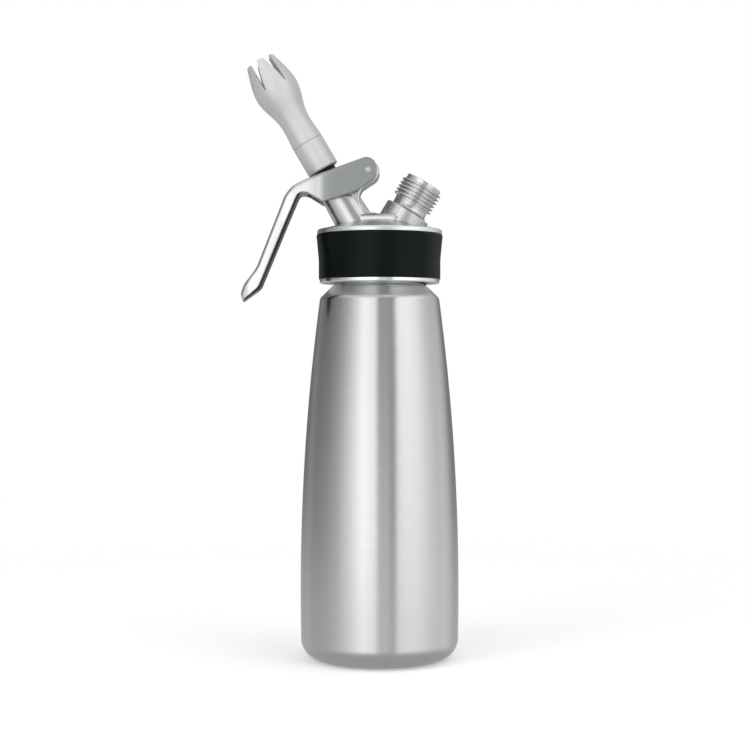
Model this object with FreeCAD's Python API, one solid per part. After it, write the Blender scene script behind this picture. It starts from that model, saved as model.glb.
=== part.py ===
import FreeCAD, Part

# Whipped cream dispenser of half-litre size, as separate pieces.
#
# Frame: the origin is the middle of the bottle's base, +Z up, +X towards the
# charger inlet and -X towards the squeeze lever. Lengths are in millimetres.
# Heights written _Z are above the base. Heights written _S run along the
# tilted axis of the dispensing tower or of the charger inlet, from the point
# where that axis crosses the bottle's own axis.

import math
import os

from FreeCAD import Placement, Rotation, Vector

# ---------------------------------------------------------------- bottle
BODY_RADIUS = 41.0
BODY_BULGE_Z = 35.0
BODY_SIDE_RADIUS = 1147.0
BASE_ROUNDING = 10.5
SHELL_WALL = 1.1
SHOULDER_ROUNDING = 3.0
SHOULDER_SLOPE_DEG = 45.0
SHOULDER_STEPS = 30
NECK_RADIUS = 23.6
NECK_FOOT_Z = 193.94
NECK_LENGTH = 20.06
NECK_ROOT_ROUNDING = 1.2
RIM_ROUNDING = 0.4

# ---------------------------------------------------- neck and cap thread
NECK_PITCH = 4.0
NECK_RIDGE_HEIGHT = 1.3
NECK_RIDGE_ROOT_WIDTH = 2.4
NECK_RIDGE_CREST_WIDTH = 1.0
NECK_RIDGE_TURNS = 3.0
NECK_RIDGE_TOP_GAP = 3.0
THREAD_CLEARANCE = 0.3
NECK_BORE_CLEARANCE = 0.45
THREAD_ROOT_SINK = 0.4

# ------------------------------------------------------ cap: sleeve, band
SLEEVE_FOOT_GAP = 0.36
SLEEVE_WALL = 5.35
SLEEVE_LIP_HEIGHT = 2.0
SLEEVE_LIP_INSET = 0.5
LIP_ROUNDING = 0.7
GASKET_THICKNESS = 3.0
GASKET_OVERHANG = 2.4
GASKET_CLEARANCE = 0.1
BAND_THICKNESS = 2.2
BAND_FLARE = 1.3
BAND_STRAIGHT_HEIGHT = 10.2
BAND_BEND = 40.0
BAND_EDGE_ROUNDING = 1.0

# --------------------------------------------------- head casting: disc
DISC_INSET = 0.5
DISC_RIM_HEIGHT = 2.5
DISC_RIM_WIDTH = 1.8
DISC_EDGE_ROUNDING = 1.2
DISC_SPIGOT_HEIGHT = 2.8
DISC_SPIGOT_WALL = 1.4
DISC_CONE_TOP_RADIUS = 12.0
DISC_CONE_HEIGHT = 4.7
BRIDGE_HEIGHT = 3.0
BRIDGE_TOWER_X = -12.5
BRIDGE_TOWER_RADIUS = 8.6
BRIDGE_INLET_X = 8.5
BRIDGE_INLET_RADIUS = 12.3
BRIDGE_ROUNDING = 2.4

# ------------------------------------------- head casting: tilted tower
TOWER_TILT_DEG = 30.6
TOWER_ORIGIN_RISE = -9.8
TOWER_TOP_WALL = 3.0
TOWER_TAPER = 1.0
TOWER_FOOT_S = 22.0
TOWER_RIM_ROUNDING = 0.5
SEAT_S = 10.0
SEAT_HEIGHT = 3.0
SEAT_WIDTH = 2.6
SEAT_GAS_GAP = 1.3
SEAT_BOSS_WALL = 1.6
SPRING_POCKET_DEPTH = 13.4
GUIDE_HEIGHT = 3.0

# ----------------------------------------------- head casting: lever arm
PIVOT_X = -5.9
PIVOT_RISE = 38.4
ARM_HALF_WIDTH = 7.2
ARM_END_RADIUS = 6.4
ARM_END_OFFSET_X = -0.5
ARM_END_OFFSET_Z = -0.6
ARM_THROAT_RADIUS = 7.3
ARM_THROAT_X = -2.9
ARM_THROAT_RISE = 24.1
ARM_TOE = 9.0
ARM_EDGE_ROUNDING = 1.4
ARM_NOTCH_OFFSET = 12.3
PIN_RADIUS = 1.75
PIN_DOME_RECESS = 0.3
PIN_DIMPLE_RADIUS = 0.8
PIN_DIMPLE_DEPTH = 0.5
BUSH_WALL = 1.15
BUSH_CLEARANCE = 0.07
BUSH_FLANGE_WIDTH = 2.03
CHEEK_PLAY = 0.2

# ------------------------------------------------ head casting: inlet neck
INLET_TILT_DEG = 30.8
INLET_ORIGIN_RISE = -6.6
INLET_NECK_WALL = 2.4
INLET_NECK_TOP_S = 32.6
INLET_BOSS_RADIUS = 11.8
INLET_BOSS_DROP = 4.0
INLET_BOSS_FOOT_S = 14.0
INLET_BOSS_EDGE_OFFSET = -2.0
INLET_BOSS_ROUNDING = 0.9
INLET_FLARE_RADIUS = 12.5
INLET_FLARE_DROP = 4.6
INLET_FLARE_HEIGHT = 7.4
INLET_FLARE_BLEND = 3.3
INLET_FLARE_ROUNDING = 3.0
INLET_FLARE_EDGE_OFFSET = -4.0
INLET_SOCKET_RADIUS = 6.8
INLET_SOCKET_DEPTH = 10.6
GAS_BORE_RADIUS = 4.2
GAS_BORE_DEPTH = 7.0
GAS_OUTLET_RADIUS = 2.4

# ---------------------------------------------------- charger inlet stub
CHARGER_ROOT_RADIUS = 9.4
CHARGER_RIDGE_HEIGHT = 1.6
CHARGER_RIDGE_SINK = 0.2
CHARGER_PITCH = 2.0
CHARGER_CREST_WIDTH = 0.5
CHARGER_ROOT_WIDTH = 0.35
CHARGER_THREAD_GAP = 0.5
CHARGER_THREAD_LENGTH = 10.4
CHARGER_PILOT_RADIUS = 9.6
CHARGER_PILOT_LENGTH = 1.9
CHARGER_RELIEF_LENGTH = 0.3
CHARGER_PILOT_CHAMFER = 0.3
CHARGER_NECK_BORE_RADIUS = 4.6
CHARGER_MOUTH_STEP = 0.2
CHARGER_MOUTH_LENGTH = 6.8
CHARGER_SEAL_THICKNESS = 1.5
CHARGER_SEAL_HOLE_RADIUS = 1.9
INLET_GASKET_THICKNESS = 1.0
INLET_GASKET_HOLE_RADIUS = 4.4
SPIGOT_CLEARANCE = 0.05
HOLDER_RADIUS = 3.85
HOLDER_FOOT_GAP = 2.0
HOLDER_STEM_RADIUS = 2.2
HOLDER_STEM_LENGTH = 7.8
HOLDER_GAS_RADIUS = 0.8
HOLDER_PORT_RISE = 2.8
HOLDER_PORT_RADIUS = 0.5
NEEDLE_RADIUS = 1.1
NEEDLE_SEAT_DEPTH = 4.0
NEEDLE_SHANK_REACH = 3.4
NEEDLE_POINT_LENGTH = 2.2
NEEDLE_GAS_RADIUS = 0.4
CHECK_SLEEVE_WALL = 0.9
CHECK_SLEEVE_RISE = 0.8
CHECK_SLEEVE_LENGTH = 4.5

# ----------------------------------------------------------- valve stem
STEM_RADIUS = 3.5
STEM_NECK_STEP = 0.4
STEM_BORE_RADIUS = 1.9
STEM_BORE_FOOT_RISE = 0.6
STEM_PORT_RISE = 2.0
STEM_PORT_RADIUS = 1.0
STEM_PROUD = 0.8
VALVE_HEAD_MARGIN = 0.6
VALVE_HEAD_THICKNESS = 2.0
VALVE_SEAL_LAP = 1.6
VALVE_SEAL_THICKNESS = 3.5
STEM_RING_RISES = (7.0, 12.0)
STEM_RING_SECTION = 0.79
STEM_RING_GROOVE_WIDTH = 1.9
STEM_RING_GROOVE_DEPTH = 0.8
STEM_RING_CLEARANCE = 0.02
COLLAR_RADIUS = 6.6
COLLAR_ABOVE_PIVOT = 2.51
COLLAR_LIFT = 3.6
COLLAR_THICKNESS = 2.0
STEM_CLEARANCE = 0.05
SPRING_WIRE_RADIUS = 0.5
SPRING_MEAN_RADIUS = 4.75
SPRING_TURNS = 5.0
SPRING_CLEARANCE = 0.65

# ------------------------------------------------ adapter, ring, nozzle
ADAPTER_GAP = 1.2
ADAPTER_FLANGE_HEIGHT = 2.0
ADAPTER_FLANGE_RADIUS = 6.1
ADAPTER_WALL = 1.2
ADAPTER_SCREW_LENGTH = 10.2
NOZZLE_PITCH = 2.0
NOZZLE_RIDGE_HEIGHT = 0.9
NOZZLE_RIDGE_ROOT_WIDTH = 1.2
NOZZLE_RIDGE_CREST_WIDTH = 0.5
NOZZLE_RIDGE_TURNS = 3.0
NOZZLE_RIDGE_RISE = 1.2
NOZZLE_THREAD_CLEARANCE = 0.2
NOZZLE_BORE_CLEARANCE = 0.35
NOZZLE_RING_THICKNESS = 1.9
NOZZLE_RING_GAP = 0.1
NOZZLE_RING_WIDTH = 0.8
NOZZLE_RING_CLEARANCE = 0.1
NOZZLE_COLLAR_RADIUS = 8.35
NOZZLE_COLLAR_LENGTH = 15.9
NOZZLE_COLLAR_ROUNDING = 1.1
NOZZLE_SEAM_DEPTH = 0.3
NOZZLE_SEAM_WIDTH = 0.6
NOZZLE_WALL = 1.6
NOZZLE_LENGTH = 65.4
NOZZLE_THREAD_DEPTH = 9.5
NOZZLE_BULGE_RADIUS = 11.65
NOZZLE_TIP_RADIUS = 8.0
NOZZLE_TIP_ROUNDING = 0.6
# Side curve of the tulip: radius and height of the points it passes through.
NOZZLE_SIDE = (
    (8.05, 21.0),
    (7.7, 26.6),
    (8.45, 34.2),
    (10.4, 40.8),
    (NOZZLE_BULGE_RADIUS, 47.6),
    (10.5, 56.3),
)
PETAL_COUNT = 6
PETAL_SLOT_DEPTH = 18.0
PETAL_SLOT_WIDTH = 4.7
PETAL_SLOT_ROUNDING = 0.3
PETAL_CORNER = 0.6
PETAL_TURN_DEG = 3.5

# ----------------------------------------------------------------- lever
FORK_PLAY = 0.2
CHEEK_THICKNESS = 3.3
HANDLE_HALF_WIDTH = 8.0
CHEEK_EDGE_ROUNDING = 0.6
HANDLE_OUTER_ROUNDING = 2.4
HANDLE_INNER_ROUNDING = 1.2
WEB_FOOT_GAP = 1.5
WEB_THICKNESS = 1.2
WEB_EDGE_OFFSET = 5.5
RECESS_OFFSET = 9.4
CHANNEL_OFFSET = 16.0
FOOT_RADIUS = 10.0
FOOT_GAP = 0.05
FOOT_HOLE_GAP = 1.3

# Side outline of the lever: x and height from the pivot pin and rounding of
# each corner, from the top of the pivot end round the outside of the handle to
# its tip, back along the grip side that faces the bottle, and from the heel of
# the cheeks along their underside. The tip and the heel, which have no rounding
# here, part the edges that are rounded by different amounts.
LEVER_OUTER = (
    (4.7, 8.55, 5.3),
    (-31.6, -4.4, 20.0),
    (-39.0, -7.8, 9.0),
    (-43.0, -12.6, 12.0),
    (-57.8, -50.3, 20.0),
    (-64.3, -58.8, 6.0),
    (-66.1, -64.0, 4.0),
    (-64.7, -67.6),
)
LEVER_GRIP = (
    (-55.8, -61.0, 6.0),
    (-53.7, -56.0, 20.0),
    (-37.5, -16.8, 6.0),
    (-35.3, -11.8, 3.0),
    (-31.3, -12.2, 6.0),
)
LEVER_UNDERSIDE = (
    (-23.7, -16.8),
    (-19.9, -15.8, 20.0),
    (-6.1, -11.2, 18.0),
    (4.2, -4.35, 5.4),
)
# How far a lever blank runs on past the tip and the heel, and how far past the
# rest of the lever it reaches.
BLANK_OVERLAP = 1.5
BLANK_REACH = 45.0
# Plan outline of the lever: x from the pivot pin and rounding of each corner,
# with how far its half width is below the fork's or the handle's.
PLAN_FORK_CORNER = (-24.6, 12.0)
PLAN_HANDLE_CORNER = (-41.1, 20.0)
PLAN_TAPER_CORNER = (-61.1, 0.6, 8.0)
PLAN_TIP_CORNER = (-67.1, 3.0, 4.0)
PLAN_ROOT_X = 15.9

# ---------------------------------------------------- lengths worked out
UP = Vector(0, 0, 1)
TOUCHING = 0.001
NECK_BORE_RADIUS = NECK_RADIUS - SHELL_WALL
NECK_TOP_Z = NECK_FOOT_Z + NECK_LENGTH
NECK_RIDGE_TOP_Z = NECK_TOP_Z - NECK_RIDGE_TOP_GAP
SLEEVE_BOTTOM_Z = NECK_FOOT_Z + SLEEVE_FOOT_GAP
SLEEVE_BORE_RADIUS = NECK_RADIUS + NECK_BORE_CLEARANCE
SLEEVE_RADIUS = SLEEVE_BORE_RADIUS + SLEEVE_WALL
GASKET_RADIUS = NECK_RADIUS + GASKET_OVERHANG
BAND_FOOT_Z = SLEEVE_BOTTOM_Z + SLEEVE_LIP_HEIGHT
BAND_FOOT_RADIUS = SLEEVE_RADIUS + BAND_THICKNESS
BAND_HEAD_RADIUS = BAND_FOOT_RADIUS + BAND_FLARE
SLEEVE_LIP_RADIUS = BAND_FOOT_RADIUS - SLEEVE_LIP_INSET
DISC_BOTTOM_Z = NECK_TOP_Z + GASKET_THICKNESS
SLEEVE_TOP_Z = DISC_BOTTOM_Z + DISC_SPIGOT_HEIGHT
DISC_RIM_TOP_Z = SLEEVE_TOP_Z + DISC_RIM_HEIGHT
DISC_CONE_TOP_Z = DISC_RIM_TOP_Z + DISC_CONE_HEIGHT
BRIDGE_TOP_Z = DISC_CONE_TOP_Z + BRIDGE_HEIGHT
DISC_RADIUS = BAND_HEAD_RADIUS - DISC_INSET
DISC_CONE_FOOT_RADIUS = DISC_RADIUS - DISC_RIM_WIDTH
DISC_SPIGOT_RADIUS = SLEEVE_RADIUS - DISC_SPIGOT_WALL
REACH = 2 * DISC_RADIUS

TOWER_TILT = math.radians(TOWER_TILT_DEG)
TOWER_ORIGIN_Z = NECK_TOP_Z + TOWER_ORIGIN_RISE
PIVOT_Z = NECK_TOP_Z + PIVOT_RISE
PIVOT_S = (PIVOT_Z - TOWER_ORIGIN_Z) * math.cos(TOWER_TILT) - PIVOT_X * math.sin(TOWER_TILT)
ARM_END_X = PIVOT_X + ARM_END_OFFSET_X
ARM_END_Z = PIVOT_Z + ARM_END_OFFSET_Z
ARM_THROAT_Z = NECK_TOP_Z + ARM_THROAT_RISE
BUSH_BORE_RADIUS = PIN_RADIUS + BUSH_CLEARANCE
BUSH_RADIUS = BUSH_BORE_RADIUS + BUSH_WALL
BUSH_FLANGE_RADIUS = BUSH_RADIUS + BUSH_FLANGE_WIDTH
COLLAR_S = PIVOT_S + COLLAR_ABOVE_PIVOT
COLLAR_TOP_S = COLLAR_S + COLLAR_THICKNESS
TOWER_TOP_S = COLLAR_S - COLLAR_LIFT
SPRING_POCKET_RADIUS = SPRING_MEAN_RADIUS + SPRING_WIRE_RADIUS + SPRING_CLEARANCE
SPRING_POCKET_S = TOWER_TOP_S - SPRING_POCKET_DEPTH
GUIDE_TOP_S = SPRING_POCKET_S + GUIDE_HEIGHT
TOWER_TOP_RADIUS = SPRING_POCKET_RADIUS + TOWER_TOP_WALL
TOWER_FOOT_RADIUS = TOWER_TOP_RADIUS + TOWER_TAPER
SEAT_TOP_S = SEAT_S + SEAT_HEIGHT
SEAT_BORE_RADIUS = STEM_RADIUS + SEAT_GAS_GAP
SEAT_OUTER_RADIUS = SEAT_BORE_RADIUS + SEAT_WIDTH
SEAT_BOSS_RADIUS = SEAT_OUTER_RADIUS + SEAT_BOSS_WALL
VALVE_SEAL_RADIUS = SEAT_BORE_RADIUS + VALVE_SEAL_LAP
VALVE_HEAD_RADIUS = VALVE_SEAL_RADIUS + VALVE_HEAD_MARGIN
STEM_NECK_RADIUS = STEM_RADIUS - STEM_NECK_STEP
STEM_RING_GROOVE_RADIUS = STEM_RADIUS - STEM_RING_GROOVE_DEPTH
STEM_RING_MIDDLE_RADIUS = STEM_RING_GROOVE_RADIUS + STEM_RING_SECTION
TOWER_BORE_RADIUS = STEM_RING_MIDDLE_RADIUS + STEM_RING_SECTION + STEM_RING_CLEARANCE
STEM_RING_S = tuple(SEAT_TOP_S + rise for rise in STEM_RING_RISES)

INLET_ORIGIN_Z = NECK_TOP_Z + INLET_ORIGIN_RISE
INLET_NECK_RADIUS = INLET_SOCKET_RADIUS + INLET_NECK_WALL
INLET_BOSS_TOP_S = INLET_NECK_TOP_S - INLET_BOSS_DROP
INLET_FLARE_TOP_S = INLET_NECK_TOP_S - INLET_FLARE_DROP
INLET_FLARE_FOOT_S = INLET_FLARE_TOP_S - INLET_FLARE_HEIGHT
INLET_SOCKET_S = INLET_NECK_TOP_S - INLET_SOCKET_DEPTH
GAS_BORE_S = INLET_SOCKET_S - GAS_BORE_DEPTH
CHARGER_THREAD_START_S = INLET_NECK_TOP_S + CHARGER_THREAD_GAP
CHARGER_THREAD_END_S = CHARGER_THREAD_START_S + CHARGER_THREAD_LENGTH
CHARGER_PILOT_S = CHARGER_THREAD_END_S + CHARGER_RELIEF_LENGTH
CHARGER_TOP_S = CHARGER_PILOT_S + CHARGER_PILOT_LENGTH
CHARGER_MOUTH_S = CHARGER_TOP_S - CHARGER_MOUTH_LENGTH
CHARGER_MOUTH_RADIUS = CHARGER_NECK_BORE_RADIUS + CHARGER_MOUTH_STEP
HOLDER_TOP_S = CHARGER_THREAD_START_S
HOLDER_FOOT_S = INLET_SOCKET_S + HOLDER_FOOT_GAP
HOLDER_STEM_FOOT_S = HOLDER_FOOT_S - HOLDER_STEM_LENGTH
HOLDER_PORT_S = HOLDER_STEM_FOOT_S + HOLDER_PORT_RISE
CHECK_SLEEVE_FOOT_S = HOLDER_STEM_FOOT_S + CHECK_SLEEVE_RISE
NEEDLE_FOOT_S = HOLDER_TOP_S - NEEDLE_SEAT_DEPTH
NEEDLE_SHANK_TOP_S = HOLDER_TOP_S + NEEDLE_SHANK_REACH
NEEDLE_TIP_S = NEEDLE_SHANK_TOP_S + NEEDLE_POINT_LENGTH

FORK_GAP_HALF_WIDTH = TOWER_FOOT_RADIUS + FORK_PLAY
FORK_HALF_WIDTH = FORK_GAP_HALF_WIDTH + CHEEK_THICKNESS
FOOT_HOLE_RADIUS = STEM_NECK_RADIUS + FOOT_HOLE_GAP
WEB_FOOT_S = COLLAR_TOP_S + WEB_FOOT_GAP
WEB_TOP_S = WEB_FOOT_S + WEB_THICKNESS
ADAPTER_FLANGE_S = WEB_TOP_S + ADAPTER_GAP
ADAPTER_FLANGE_TOP_S = ADAPTER_FLANGE_S + ADAPTER_FLANGE_HEIGHT
ADAPTER_CORE_RADIUS = STEM_NECK_RADIUS + ADAPTER_WALL
ADAPTER_TOP_S = ADAPTER_FLANGE_TOP_S + ADAPTER_SCREW_LENGTH
STEM_TOP_S = ADAPTER_FLANGE_TOP_S + STEM_PROUD
NOZZLE_RING_TOP_S = ADAPTER_FLANGE_TOP_S + NOZZLE_RING_THICKNESS
NOZZLE_S = NOZZLE_RING_TOP_S + NOZZLE_RING_GAP
NOZZLE_RING_BORE_RADIUS = ADAPTER_CORE_RADIUS + NOZZLE_RIDGE_HEIGHT + NOZZLE_RING_CLEARANCE
NOZZLE_RING_RADIUS = NOZZLE_RING_BORE_RADIUS + NOZZLE_RING_WIDTH
NOZZLE_RIDGE_START_S = NOZZLE_S + NOZZLE_RIDGE_RISE


# ------------------------------------------------------------ the helpers
def on_tower(shape):
    """Place a shape built about +Z, heights as S, on the tower's tilted axis."""
    turn = Rotation(Vector(0, 1, 0), -TOWER_TILT_DEG)
    return shape.transformed(Placement(Vector(0, 0, TOWER_ORIGIN_Z), turn).toMatrix())


def on_inlet(shape):
    """Place a shape built about +Z, heights as S, on the charger inlet's axis."""
    turn = Rotation(Vector(0, 1, 0), INLET_TILT_DEG)
    return shape.transformed(Placement(Vector(0, 0, INLET_ORIGIN_Z), turn).toMatrix())


def tower_point(offset, s):
    """Frame x and z of a point beside the tower's axis, offset away from it."""
    x = offset * math.cos(TOWER_TILT) - s * math.sin(TOWER_TILT)
    z = TOWER_ORIGIN_Z + offset * math.sin(TOWER_TILT) + s * math.cos(TOWER_TILT)
    return x, z


def from_pivot(corners):
    """Outline corners measured from the pivot pin, as corners of the frame."""
    return tuple((PIVOT_X + x, PIVOT_Z + rise) + tuple(rounding) for x, rise, *rounding in corners)


def outline(corners):
    """Closed wire in the XZ plane from corners (x, z) or (x, z, rounding)."""
    points = [Vector(corner[0], 0, corner[1]) for corner in corners]
    edges = []
    joints = []
    for index, point in enumerate(points):
        rounding = corners[index][2] if len(corners[index]) > 2 else 0
        back = (points[index - 1] - point).normalize()
        ahead = (points[(index + 1) % len(points)] - point).normalize()
        half = back.getAngle(ahead) / 2
        start = point + back * (rounding / math.tan(half))
        end = point + ahead * (rounding / math.tan(half))
        joints.append((start, end))
        if rounding > 0:
            inward = (back + ahead).normalize()
            middle = point + inward * (rounding / math.sin(half) - rounding)
            edges.append(Part.Arc(start, middle, end).toShape())
    for index, (start, end) in enumerate(joints):
        edges.append(Part.LineSegment(end, joints[(index + 1) % len(joints)][0]).toShape())
    return Part.Wire(Part.sortEdges(edges)[0])


def turned(corners):
    """Solid of revolution about +Z from corners (radius, height, rounding)."""
    return Part.Face(outline(corners)).revolve(Vector(0, 0, 0), UP, 360)


def across(wire, half_width):
    """Solid that spreads an XZ outline over both sides of the middle plane."""
    face = Part.Face(wire)
    face.translate(Vector(0, -half_width, 0))
    return face.extrude(Vector(0, 2 * half_width, 0))


def rod(radius, low, high):
    """Cylinder about +Z between two heights."""
    return Part.makeCylinder(radius, high - low, Vector(0, 0, low), UP)


def tube(outer, inner, low, high):
    """Ring about +Z between two heights."""
    return rod(outer, low, high).cut(rod(inner, low, high))


def cross_rod(radius, half_length, x, z):
    """Cylinder along Y through a point of the middle plane."""
    start = Vector(x, -half_length, z)
    return Part.makeCylinder(radius, 2 * half_length, start, Vector(0, 1, 0))


def block(x_range, half_width, z_range):
    """Box that is centred on the middle plane."""
    size = (x_range[1] - x_range[0], 2 * half_width, z_range[1] - z_range[0])
    return Part.makeBox(*size, Vector(x_range[0], -half_width, z_range[0]))


def circle_edge(solid, radius, z):
    """The closed edge of a turned solid that lies nearest a radius and height."""
    loops = [edge for edge in solid.Edges if edge.Closed]
    return min(loops, key=lambda edge: abs(edge.Length / (2 * math.pi) - radius)
               + abs(edge.CenterOfMass.z - z))


def round_circle(solid, radius, z, rounding):
    """Round the circular edge at a radius and height."""
    return solid.makeFillet(rounding, [circle_edge(solid, radius, z)])


def helix_bar(corners, pitch, start, turns):
    """Sweep a profile of (radius, height) corners up a right-hand helix."""
    radius = max(corner[0] for corner in corners)
    helix = Part.makeHelix(pitch, pitch * turns, radius)
    points = [Vector(r, 0, z) for r, z in corners]
    profile = Part.makePolygon(points + points[:1])
    bar = Part.Wire(helix.Edges).makePipeShell([profile], True, True)
    bar.translate(Vector(0, 0, start))
    return bar


def ridge_profile(root, height, root_width, crest_width, sink, spread):
    """Trapezium of a thread ridge, sunk into its root and widened by spread."""
    slope = (root_width - crest_width) / 2 / height
    crest = root + height + spread
    base_half = root_width / 2 + spread + sink * slope
    tip_half = crest_width / 2 + spread
    return ((root - sink, -base_half), (crest, -tip_half), (crest, tip_half), (root - sink, base_half))


# ------------------------------------------------------------- the bottle
def side_radius(z, inset):
    """Radius of the bottle's long side arc at a height."""
    drop = z - BODY_BULGE_Z
    return BODY_RADIUS - BODY_SIDE_RADIUS + math.sqrt((BODY_SIDE_RADIUS - inset) ** 2 - drop ** 2)


def shoulder_height():
    """Height at which the shoulder's cone meets the bottle's long side."""
    fall = math.tan(math.radians(SHOULDER_SLOPE_DEG))
    height = NECK_FOOT_Z
    for _ in range(SHOULDER_STEPS):
        height = NECK_FOOT_Z - (side_radius(height, 0) - NECK_RADIUS) * fall
    return height


def bottle_body(inset):
    """The bottle's closed outer form, or its inside when inset by the wall."""
    low, middle, high = inset, (inset + NECK_TOP_Z) / 2, NECK_TOP_Z
    side = Part.Arc(Vector(side_radius(low, inset), 0, low),
                    Vector(side_radius(middle, inset), 0, middle),
                    Vector(side_radius(high, inset), 0, high)).toShape()
    ends = [Vector(0, 0, high), Vector(0, 0, low)]
    frame = Part.makePolygon([side.Vertexes[1].Point] + ends + [side.Vertexes[0].Point])
    barrel = Part.Face(Part.Wire([side] + frame.Edges)).revolve(Vector(0, 0, 0), UP, 360)

    slope = math.radians(SHOULDER_SLOPE_DEG)
    foot_radius = NECK_RADIUS + NECK_FOOT_Z / math.tan(slope) - inset / math.sin(slope)
    cone = Part.makeCone(foot_radius, 0, foot_radius * math.tan(slope))
    neck_radius = NECK_RADIUS - inset
    shoulder_z = shoulder_height()
    neck = rod(neck_radius, shoulder_z, NECK_TOP_Z)
    body = barrel.common(cone).fuse(neck).removeSplitter()

    neck_foot_z = (foot_radius - neck_radius) * math.tan(slope)
    body = round_circle(body, side_radius(low, inset), low, BASE_ROUNDING - inset)
    body = round_circle(body, side_radius(shoulder_z, inset), shoulder_z, SHOULDER_ROUNDING - inset)
    return round_circle(body, neck_radius, neck_foot_z, NECK_ROOT_ROUNDING + inset)


def neck_ridge(sink, spread, start, turns):
    """The neck's thread ridge, or the cutter for its mating groove."""
    profile = ridge_profile(NECK_RADIUS, NECK_RIDGE_HEIGHT, NECK_RIDGE_ROOT_WIDTH,
                            NECK_RIDGE_CREST_WIDTH, sink, spread)
    return helix_bar(profile, NECK_PITCH, start, turns)


def make_bottle_shell():
    """Deep-drawn bottle with a flat base, a coned shoulder and a threaded neck."""
    outside = round_circle(bottle_body(0), NECK_RADIUS, NECK_TOP_Z, RIM_ROUNDING)
    start = NECK_RIDGE_TOP_Z - NECK_RIDGE_TURNS * NECK_PITCH
    ridge = neck_ridge(THREAD_ROOT_SINK, 0, start, NECK_RIDGE_TURNS)
    return outside.cut(bottle_body(SHELL_WALL)).fuse(ridge)


# ---------------------------------------------------------------- the cap
def make_cap_sleeve():
    """Threaded sleeve under the head, with a lip that carries the grip band."""
    sleeve = turned((
        (SLEEVE_BORE_RADIUS, SLEEVE_BOTTOM_Z),
        (SLEEVE_LIP_RADIUS, SLEEVE_BOTTOM_Z, LIP_ROUNDING),
        (SLEEVE_LIP_RADIUS, BAND_FOOT_Z),
        (SLEEVE_RADIUS, BAND_FOOT_Z),
        (SLEEVE_RADIUS, SLEEVE_TOP_Z),
        (DISC_SPIGOT_RADIUS, SLEEVE_TOP_Z),
        (DISC_SPIGOT_RADIUS, DISC_BOTTOM_Z),
        (GASKET_RADIUS, DISC_BOTTOM_Z),
        (GASKET_RADIUS, NECK_TOP_Z - GASKET_CLEARANCE),
        (SLEEVE_BORE_RADIUS, NECK_TOP_Z - GASKET_CLEARANCE),
    ))
    turns_below = math.ceil((NECK_RIDGE_TOP_Z - SLEEVE_BOTTOM_Z) / NECK_PITCH) + 1
    start = NECK_RIDGE_TOP_Z - turns_below * NECK_PITCH
    cutter = neck_ridge(0, THREAD_CLEARANCE, start, turns_below + THREAD_CLEARANCE / NECK_PITCH)
    return sleeve.cut(cutter)


def make_grip_band():
    """Soft band that fills the sleeve's groove and flares towards the disc."""
    return turned((
        (SLEEVE_RADIUS, BAND_FOOT_Z),
        (BAND_FOOT_RADIUS, BAND_FOOT_Z, BAND_EDGE_ROUNDING / 2),
        (BAND_FOOT_RADIUS, BAND_FOOT_Z + BAND_STRAIGHT_HEIGHT, BAND_BEND),
        (BAND_HEAD_RADIUS, SLEEVE_TOP_Z, BAND_EDGE_ROUNDING),
        (SLEEVE_RADIUS, SLEEVE_TOP_Z),
    ))


def make_head_gasket():
    """Flat ring that seals the bottle's rim against the head."""
    return tube(GASKET_RADIUS - GASKET_CLEARANCE, NECK_BORE_RADIUS, NECK_TOP_Z, DISC_BOTTOM_Z)


# ------------------------------------------------------- the head casting
def head_disc():
    """Disc that closes the cap, with a rounded rim and a shallow cone."""
    return turned((
        (0, DISC_BOTTOM_Z),
        (DISC_SPIGOT_RADIUS, DISC_BOTTOM_Z),
        (DISC_SPIGOT_RADIUS, SLEEVE_TOP_Z),
        (DISC_RADIUS, SLEEVE_TOP_Z),
        (DISC_RADIUS, DISC_RIM_TOP_Z, DISC_EDGE_ROUNDING),
        (DISC_CONE_FOOT_RADIUS, DISC_RIM_TOP_Z),
        (DISC_CONE_TOP_RADIUS, DISC_CONE_TOP_Z),
        (0, DISC_CONE_TOP_Z),
    ))


def head_bridge():
    """Raised pad that joins the tower's foot to the inlet's boss."""
    run = BRIDGE_INLET_X - BRIDGE_TOWER_X
    lean = math.asin((BRIDGE_INLET_RADIUS - BRIDGE_TOWER_RADIUS) / run)
    rounds = ((BRIDGE_TOWER_X, BRIDGE_TOWER_RADIUS, -1), (BRIDGE_INLET_X, BRIDGE_INLET_RADIUS, 1))
    arcs = []
    for x, radius, side in rounds:
        tangent = Vector(-math.sin(lean) * radius, math.cos(lean) * radius, DISC_BOTTOM_Z)
        high = Vector(x + tangent.x, tangent.y, tangent.z)
        low = Vector(x + tangent.x, -tangent.y, tangent.z)
        middle = Vector(x + side * radius, 0, DISC_BOTTOM_Z)
        arcs.append(Part.Arc(high, middle, low).toShape())
    lines = [Part.makeLine(arcs[0].Vertexes[index].Point, arcs[1].Vertexes[index].Point)
             for index in (0, 1)]
    wire = Part.Wire([arcs[0], lines[1], arcs[1], lines[0]])
    pad = Part.Face(wire).extrude(Vector(0, 0, BRIDGE_TOP_Z - DISC_BOTTOM_Z))
    rim = [edge for edge in pad.Edges
           if all(abs(vertex.Z - BRIDGE_TOP_Z) < TOUCHING for vertex in edge.Vertexes)]
    return pad.makeFillet(BRIDGE_ROUNDING, rim)


def head_tower():
    """Tapered tower that carries the valve, with the seat's boss below it."""
    cone = Part.makeCone(TOWER_FOOT_RADIUS, TOWER_TOP_RADIUS, TOWER_TOP_S - TOWER_FOOT_S,
                         Vector(0, 0, TOWER_FOOT_S), UP)
    cone = round_circle(cone, TOWER_TOP_RADIUS, TOWER_TOP_S, TOWER_RIM_ROUNDING)
    return on_tower(cone.fuse(rod(SEAT_BOSS_RADIUS, SEAT_S, TOWER_FOOT_S)))


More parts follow.
